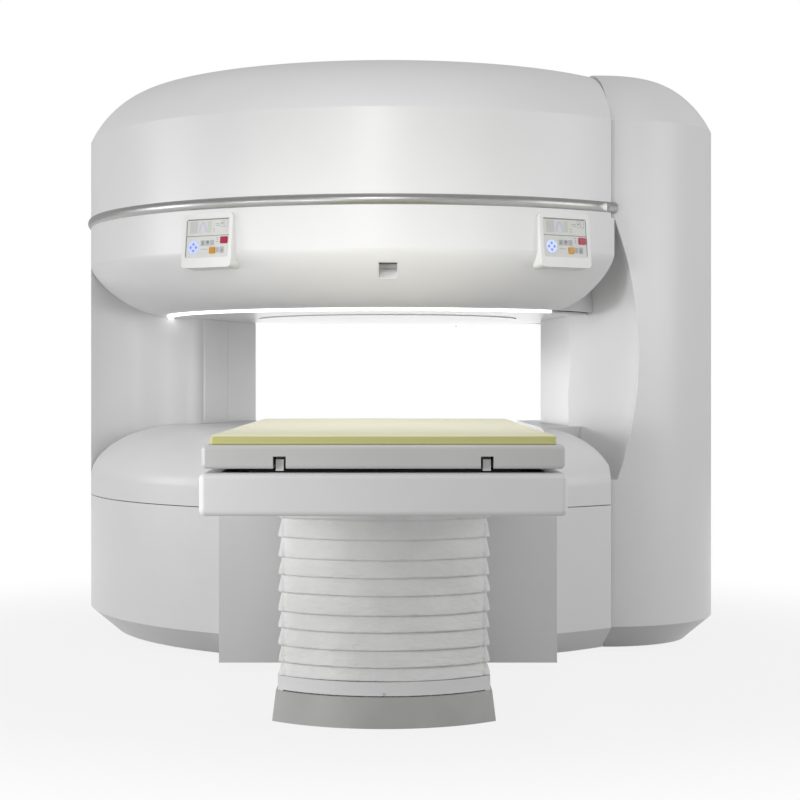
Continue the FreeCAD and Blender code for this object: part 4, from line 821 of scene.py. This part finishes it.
class SCANNER_OT_prints(bpy.types.Operator):
    """Print the fields, keys and marks on the films of the control panels"""
    bl_idname = "scanner.prints"
    bl_label = "Panel print"

    def execute(self, context):
        shape = context.scene.scanner_prints
        # The "shade" ink is painted shadow along the films' top and outer edges, and also prints the divider.
        inks = {name: print_ink("screen_ink_" + name, hex_code) for name, hex_code in (
            ("shade", "#77787A"), ("line", "#A3A5A4"), ("dark", "#6E7174"), ("key", "#B9BDBF"),
            ("field", "#D0D1CF"), ("lavender", "#D3D0EE"), ("green", "#CDDACA"), ("rose", "#E3A5AC"),
            ("yellow", "#E9E08A"))}
        inks["facet"] = moulded_key("polycarbonate_facet_blue", "#8FA3F4")
        for side, turn in (("left", shape.left), ("right", shape.right)):
            frame_at = (Matrix.Rotation(turn, 4, "Z") @ Matrix.Translation((0.0, -shape.reach, shape.height))
                        @ Matrix.Rotation(math.radians(90.0) - shape.lean, 4, "X"))
            for ink, outlines in self.marks(side).items():
                under, base = ("panel_dials", shape.lens) if ink == "facet" else ("panel_faces", shape.film)
                plates = [(outer, -base - INK_ROOT, -base + shape.ink, inner) for outer, inner in outlines]
                stamped(side + "_print_" + ink, plates, frame_at, inks[ink], "root")
        return {"FINISHED"}

    def marks(self, side):
        """Outlines by ink, in millimetres on the face: u to the right of its middle, v up from its edge.
        The dark border along the top and the outer side is a painted shadow, the shade of the sunk film's
        edge; a printed bar in the same ink divides the fields from the keys."""
        def bar(u0, u1, v0, v1, radius=0.4):
            return rounded(u0, u1, v0, v1, radius), None

        def frame_of(u0, u1, v0, v1, width, radius):
            outer = rounded(u0, u1, v0, v1, radius)
            return outer, rounded(u0 + width, u1 - width, v0 + width, v1 - width, max(0.3, radius - width))

        keys = ((-30.0, -11.5), (-8.5, 10.0), (13.0, 31.5))
        low_keys = ((40.5, 57.0), (60.0, 76.5))
        arch = around(-23.0, 92.0, 18.0, 40.0, 0.0, 180.0) + around(-23.0, 92.0, 10.5, 31.0, 180.0, 0.0)
        rim = -97.0 if side == "left" else 94.8
        lens_u, lens_v = -62.5, 38.5
        kite = ((19.5, 0.0), (11.0, 7.0), (6.5, 0.0), (11.0, -7.0))
        facets = []
        for turn in (0.0, 90.0, 180.0, 270.0):
            a = math.radians(turn)
            facets.append(([(lens_u + x * math.cos(a) - y * math.sin(a),
                             lens_v + x * math.sin(a) + y * math.cos(a)) for x, y in kite], None))
        return {
            # Painted shadow: the first two bars of this ink; the third is a printed divider.
            "shade": [bar(-93.0, 93.0, 139.0, 142.0), bar(rim, rim + 2.2, 6.0, 137.0),
                      bar(-97.0, 97.0, 79.0, 81.0)],
            "line": [frame_of(57.0, 70.5, 110.0, 136.0, 1.2, 3.0),
                     frame_of(74.0, 87.5, 110.0, 136.0, 1.2, 3.0), bar(33.0, 52.0, 121.5, 123.5),
                     bar(38.0, 52.0, 115.0, 117.0), bar(-28.0, 2.0, 30.0, 31.6)],
            "dark": [bar(-24.5, -14.5, 57.0, 58.4), bar(-24.5, -14.5, 52.5, 53.9),
                     bar(-24.5, -14.5, 48.0, 49.4), bar(-2.0, 7.0, 53.0, 59.5, 1.0),
                     bar(40.5, 49.0, 70.2, 71.6), bar(43.0, 49.0, 63.4, 64.6),
                     bar(40.5, 49.0, 56.0, 57.4), bar(66.0, 71.0, 21.0, 28.0, 1.0),
                     bar(61.5, 66.5, 122.0, 127.0, 1.5), frame_of(59.5, 77.5, 15.0, 37.5, 1.0, 2.0)],
            "key": [bar(u0, u1, 43.5, 64.0, 2.0) for u0, u1 in keys]
                   + [bar(u0 + 1.2, u1 - 1.2, 16.5, 36.0, 1.5) for u0, u1 in low_keys],
            "field": [bar(-83.0, -47.0, 91.0, 135.0, 2.0)],
            "lavender": [(arch, None)],
            "green": [bar(-3.0, 15.0, 92.0, 134.0, 2.0)],
            "rose": [(around(27.5, 104.0, 3.6, 3.6), around(27.5, 104.0, 2.2, 2.2)),
                     (around(28.5, 94.5, 3.2, 3.2), around(28.5, 94.5, 1.9, 1.9)),
                     frame_of(58.4, 93.6, 47.9, 76.1, 2.0, 4.0)],
            "yellow": [frame_of(9.4, 40.6, 11.0, 40.0, 2.2, 4.5)],
            "facet": facets,
        }


# Millimetres over the band's lower edge: lower and upper edge of the strip, upper edge of the black band
# painted as the shadow line under it.
STRIP_LOW, STRIP_HIGH, SHADOW_BAND_HIGH = 1.5, 15.5, 3.0
# Their outer and inner face lie inside the bellows' outline by these shares of a fold's depth.
STRIP_SHARES = (0.1, 0.4)
# The screw, in millimetres: height of its middle, radius of head and socket, where it starts and ends
# off the strip's outer face.
SCREW_AT, SCREW_R, SOCKET_R, SCREW_START, SCREW_END = 8.5, 5.0, 2.2, -2.0, 1.2


class SCANNER_OT_clamp(bpy.types.Operator):
    """Add the strip, a black band painted as the shadow line at its foot, and the screw of the bellows' clamp
    band
    """
    bl_idname = "scanner.clamp"
    bl_label = "Clamp strip"

    def execute(self, context):
        shape = context.scene.scanner_bellows
        low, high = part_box("bellows_clamp")
        centre = (low.x + high.x) / 2.0
        points, outward = foot_outline(shape, centre)
        outer, within = ([tuple((p - o * shape.fold * share) / MM) for p, o in zip(points, outward)]
                         for share in STRIP_SHARES)
        head, socket = (around(0.0, SCREW_AT, radius, radius) for radius in (SCREW_R, SOCKET_R))
        base = Matrix.Translation((0.0, 0.0, low.z))
        front = (Matrix.Translation((centre, shape.front + shape.fold * STRIP_SHARES[0], low.z))
                 @ Matrix.Rotation(math.pi / 2.0, 4, "X"))
        for name, plate, matrix, finish in (
                ("clamp_strip", (outer, STRIP_LOW, STRIP_HIGH, within), base, "polyurethane_satin_sprayed"),
                # Painted shadow: a black rubber band stands in for the shadow line between the strip and the
                # foot.
                ("clamp_painted_shadow", (outer, 0.0, SHADOW_BAND_HIGH, within), base, "neoprene_moulded_and_painted_shadow"),
                ("clamp_screw", (head, SCREW_START, SCREW_END, socket), front, "steel_ground")):
            stamped(name, [plate], matrix, bpy.data.materials[finish], "root")
        return {"FINISHED"}


def hang(name, kind, place_at, target, power):
    """Lamp at a place, turned to a point; returns its data."""
    data = bpy.data.lights.new(name, kind)
    data.energy = power
    lamp = bpy.data.objects.new(name, data)
    lamp.location = place_at
    lamp.rotation_euler = (Vector(target) - lamp.location).to_track_quat("-Z", "Y").to_euler()
    bpy.context.scene.collection.objects.link(lamp)
    return data


def soft_box(name, place_at, target, power, width, height):
    """Large soft box that looks at a point."""
    data = hang(name, "AREA", place_at, target, power)
    data.shape = "RECTANGLE"
    data.size = width
    data.size_y = height


def soft_spot(name, place_at, target, power, cone):
    """Round lamp with a soft edged beam of the given angle in degrees."""
    data = hang(name, "SPOT", place_at, target, power)
    data.spot_size = math.radians(cone)
    data.spot_blend = 1.0
    data.shadow_soft_size = 0.5


# The floor, in metres: its radius and middle, and how far off that it starts to fade and ends as white.
FLOOR_RADIUS, FLOOR_MIDDLE = 9.0, (0.0, -0.8, 0.0)
FADE_START, FADE_END = 1.5, 3.2
# Share of white in the floor before it fades.
FADE_LEAST = 0.86


class SCANNER_OT_stage(bpy.types.Operator):
    """Make the floor, the even surround, the soft boxes and the camera"""
    bl_idname = "scanner.stage"
    bl_label = "Stage"

    def execute(self, context):
        setup = context.scene.scanner_stage
        self.surround(setup)
        self.floor()
        soft_box("key_softbox", (-6.0, -1.2, 1.6), (0.6, -0.8, 1.1), setup.key, 2.0, 2.0)
        soft_box("fill_softbox", (4.8, -2.8, 1.9), (0.2, -0.6, 1.1), setup.fill, 2.4, 2.4)
        soft_box("table_softbox", (-1.75, -4.1, 0.9), (0.0, -2.9, 0.6), setup.side, 0.7, 1.0)
        soft_box("rear_softbox", (0.0, 3.4, 0.7), (0.0, 0.0, 1.25), setup.rear, 3.0, 1.0)
        soft_spot("crown_spot", (-0.5, -6.0, 3.0), (-0.1, -1.2, 1.72), setup.crown, 24.0)
        soft_spot("column_spot", (-4.4, -4.6, 1.25), (1.05, -0.75, 1.2), setup.column, 16.0)
        soft_spot("post_spot", (3.0, -6.0, 1.2), (-0.85, -0.3, 1.1), setup.post, 14.0)
        soft_spot("table_spot", (0.0, -2.35, 4.4), (0.0, -2.35, 0.9), setup.top, 28.0)
        self.camera(setup)
        context.scene.view_settings.view_transform = "Standard"
        return {"FINISHED"}

    def surround(self, setup):
        """Even light from all round, seen as plain white by the eye and through clear parts."""
        world = bpy.data.worlds.new("surround")
        bpy.context.scene.world = world
        world.use_nodes = True
        tree = world.node_tree
        back = tree.nodes["Background"]
        back.inputs["Color"].default_value = WHITE
        path = add(tree, "ShaderNodeLightPath")
        seen = add(tree, "ShaderNodeMath",
                   {0: path.outputs["Is Camera Ray"], 1: path.outputs["Is Transmission Ray"]},
                   operation="MAXIMUM")
        level = add(tree, "ShaderNodeMapRange", {"Value": seen.outputs[0]},
                    {"To Min": setup.sky, "To Max": 1.0})
        tree.links.new(level.outputs[0], back.inputs["Strength"])

    def floor(self):
        """Pale floor that keeps the shadow near the scanner and fades to the white surround."""
        bpy.ops.mesh.primitive_circle_add(vertices=96, radius=FLOOR_RADIUS, fill_type="NGON",
                                          location=FLOOR_MIDDLE)
        floor = bpy.context.object
        floor.name = "floor"
        made, tree, shader = surface("floor_pale_matt", shade("#969696"), 0.8)
        spot = add(tree, "ShaderNodeTexCoord")
        away = add(tree, "ShaderNodeVectorMath", {0: spot.outputs["Object"]}, operation="LENGTH")
        fade = add(tree, "ShaderNodeMapRange", {"Value": away.outputs["Value"]},
                   {"From Min": FADE_START, "From Max": FADE_END, "To Min": FADE_LEAST, "To Max": 1.0},
                   interpolation_type="SMOOTHSTEP")
        path = add(tree, "ShaderNodeLightPath")
        seen = add(tree, "ShaderNodeMath",
                   {0: path.outputs["Is Camera Ray"], 1: path.outputs["Is Glossy Ray"]},
                   operation="MAXIMUM")
        share = add(tree, "ShaderNodeMath", {0: fade.outputs[0], 1: seen.outputs[0]}, operation="MULTIPLY")
        white = add(tree, "ShaderNodeEmission", (), {"Color": WHITE, "Strength": 1.0})
        mixed = add(tree, "ShaderNodeMixShader",
                    {0: share.outputs[0], 1: shader.outputs[0], 2: white.outputs[0]})
        tree.links.new(mixed.outputs[0], tree.nodes["Material Output"].inputs["Surface"])
        floor.data.materials.append(made)

    def camera(self, setup):
        """Level camera; the shifts put the vanishing point where the photo has it."""
        data = bpy.data.cameras.new("photo_camera")
        data.lens = setup.lens
        data.sensor_width = SENSOR_MM
        data.shift_x = (PICTURE_PX / 2.0 - VANISHING_PX[0]) / PICTURE_PX
        data.shift_y = (VANISHING_PX[1] - PICTURE_PX / 2.0) / PICTURE_PX
        camera = bpy.data.objects.new("photo_camera", data)
        camera.location = setup.eye
        camera.rotation_euler = (math.radians(90.0), 0.0, 0.0)
        bpy.context.scene.collection.objects.link(camera)
        bpy.context.scene.camera = camera


class SCANNER_PT_pieces(bpy.types.Panel):
    """Buttons for the pieces in the order in which they are made"""
    bl_idname = "SCANNER_PT_pieces"
    bl_label = "Scanner"
    bl_space_type = "VIEW_3D"
    bl_region_type = "UI"
    bl_category = "Scanner"

    def draw(self, context):
        for step in STEPS:
            self.layout.operator(step.bl_idname)


STEPS = (SCANNER_OT_covers, SCANNER_OT_magnet, SCANNER_OT_table, SCANNER_OT_bellows, SCANNER_OT_clamp,
         SCANNER_OT_mattress, SCANNER_OT_panels, SCANNER_OT_prints, SCANNER_OT_stage)
SETTINGS = {"scanner_covers": CoverLook, "scanner_bellows": BellowsShape, "scanner_pad": PadShape,
            "scanner_prints": PanelPrint, "scanner_stage": StageSetup}


def register():
    for group in SETTINGS.values():
        bpy.utils.register_class(group)
    for name, group in SETTINGS.items():
        setattr(bpy.types.Scene, name, PointerProperty(type=group))
    for step in STEPS:
        bpy.utils.register_class(step)
    bpy.utils.register_class(SCANNER_PT_pieces)


def unregister():
    bpy.utils.unregister_class(SCANNER_PT_pieces)
    for step in reversed(STEPS):
        bpy.utils.unregister_class(step)
    for name, group in SETTINGS.items():
        delattr(bpy.types.Scene, name)
        bpy.utils.unregister_class(group)


def main():
    register()
    for step in STEPS:
        group, name = step.bl_idname.split(".")
        getattr(getattr(bpy.ops, group), name)()


if __name__ == "__main__":
    main()
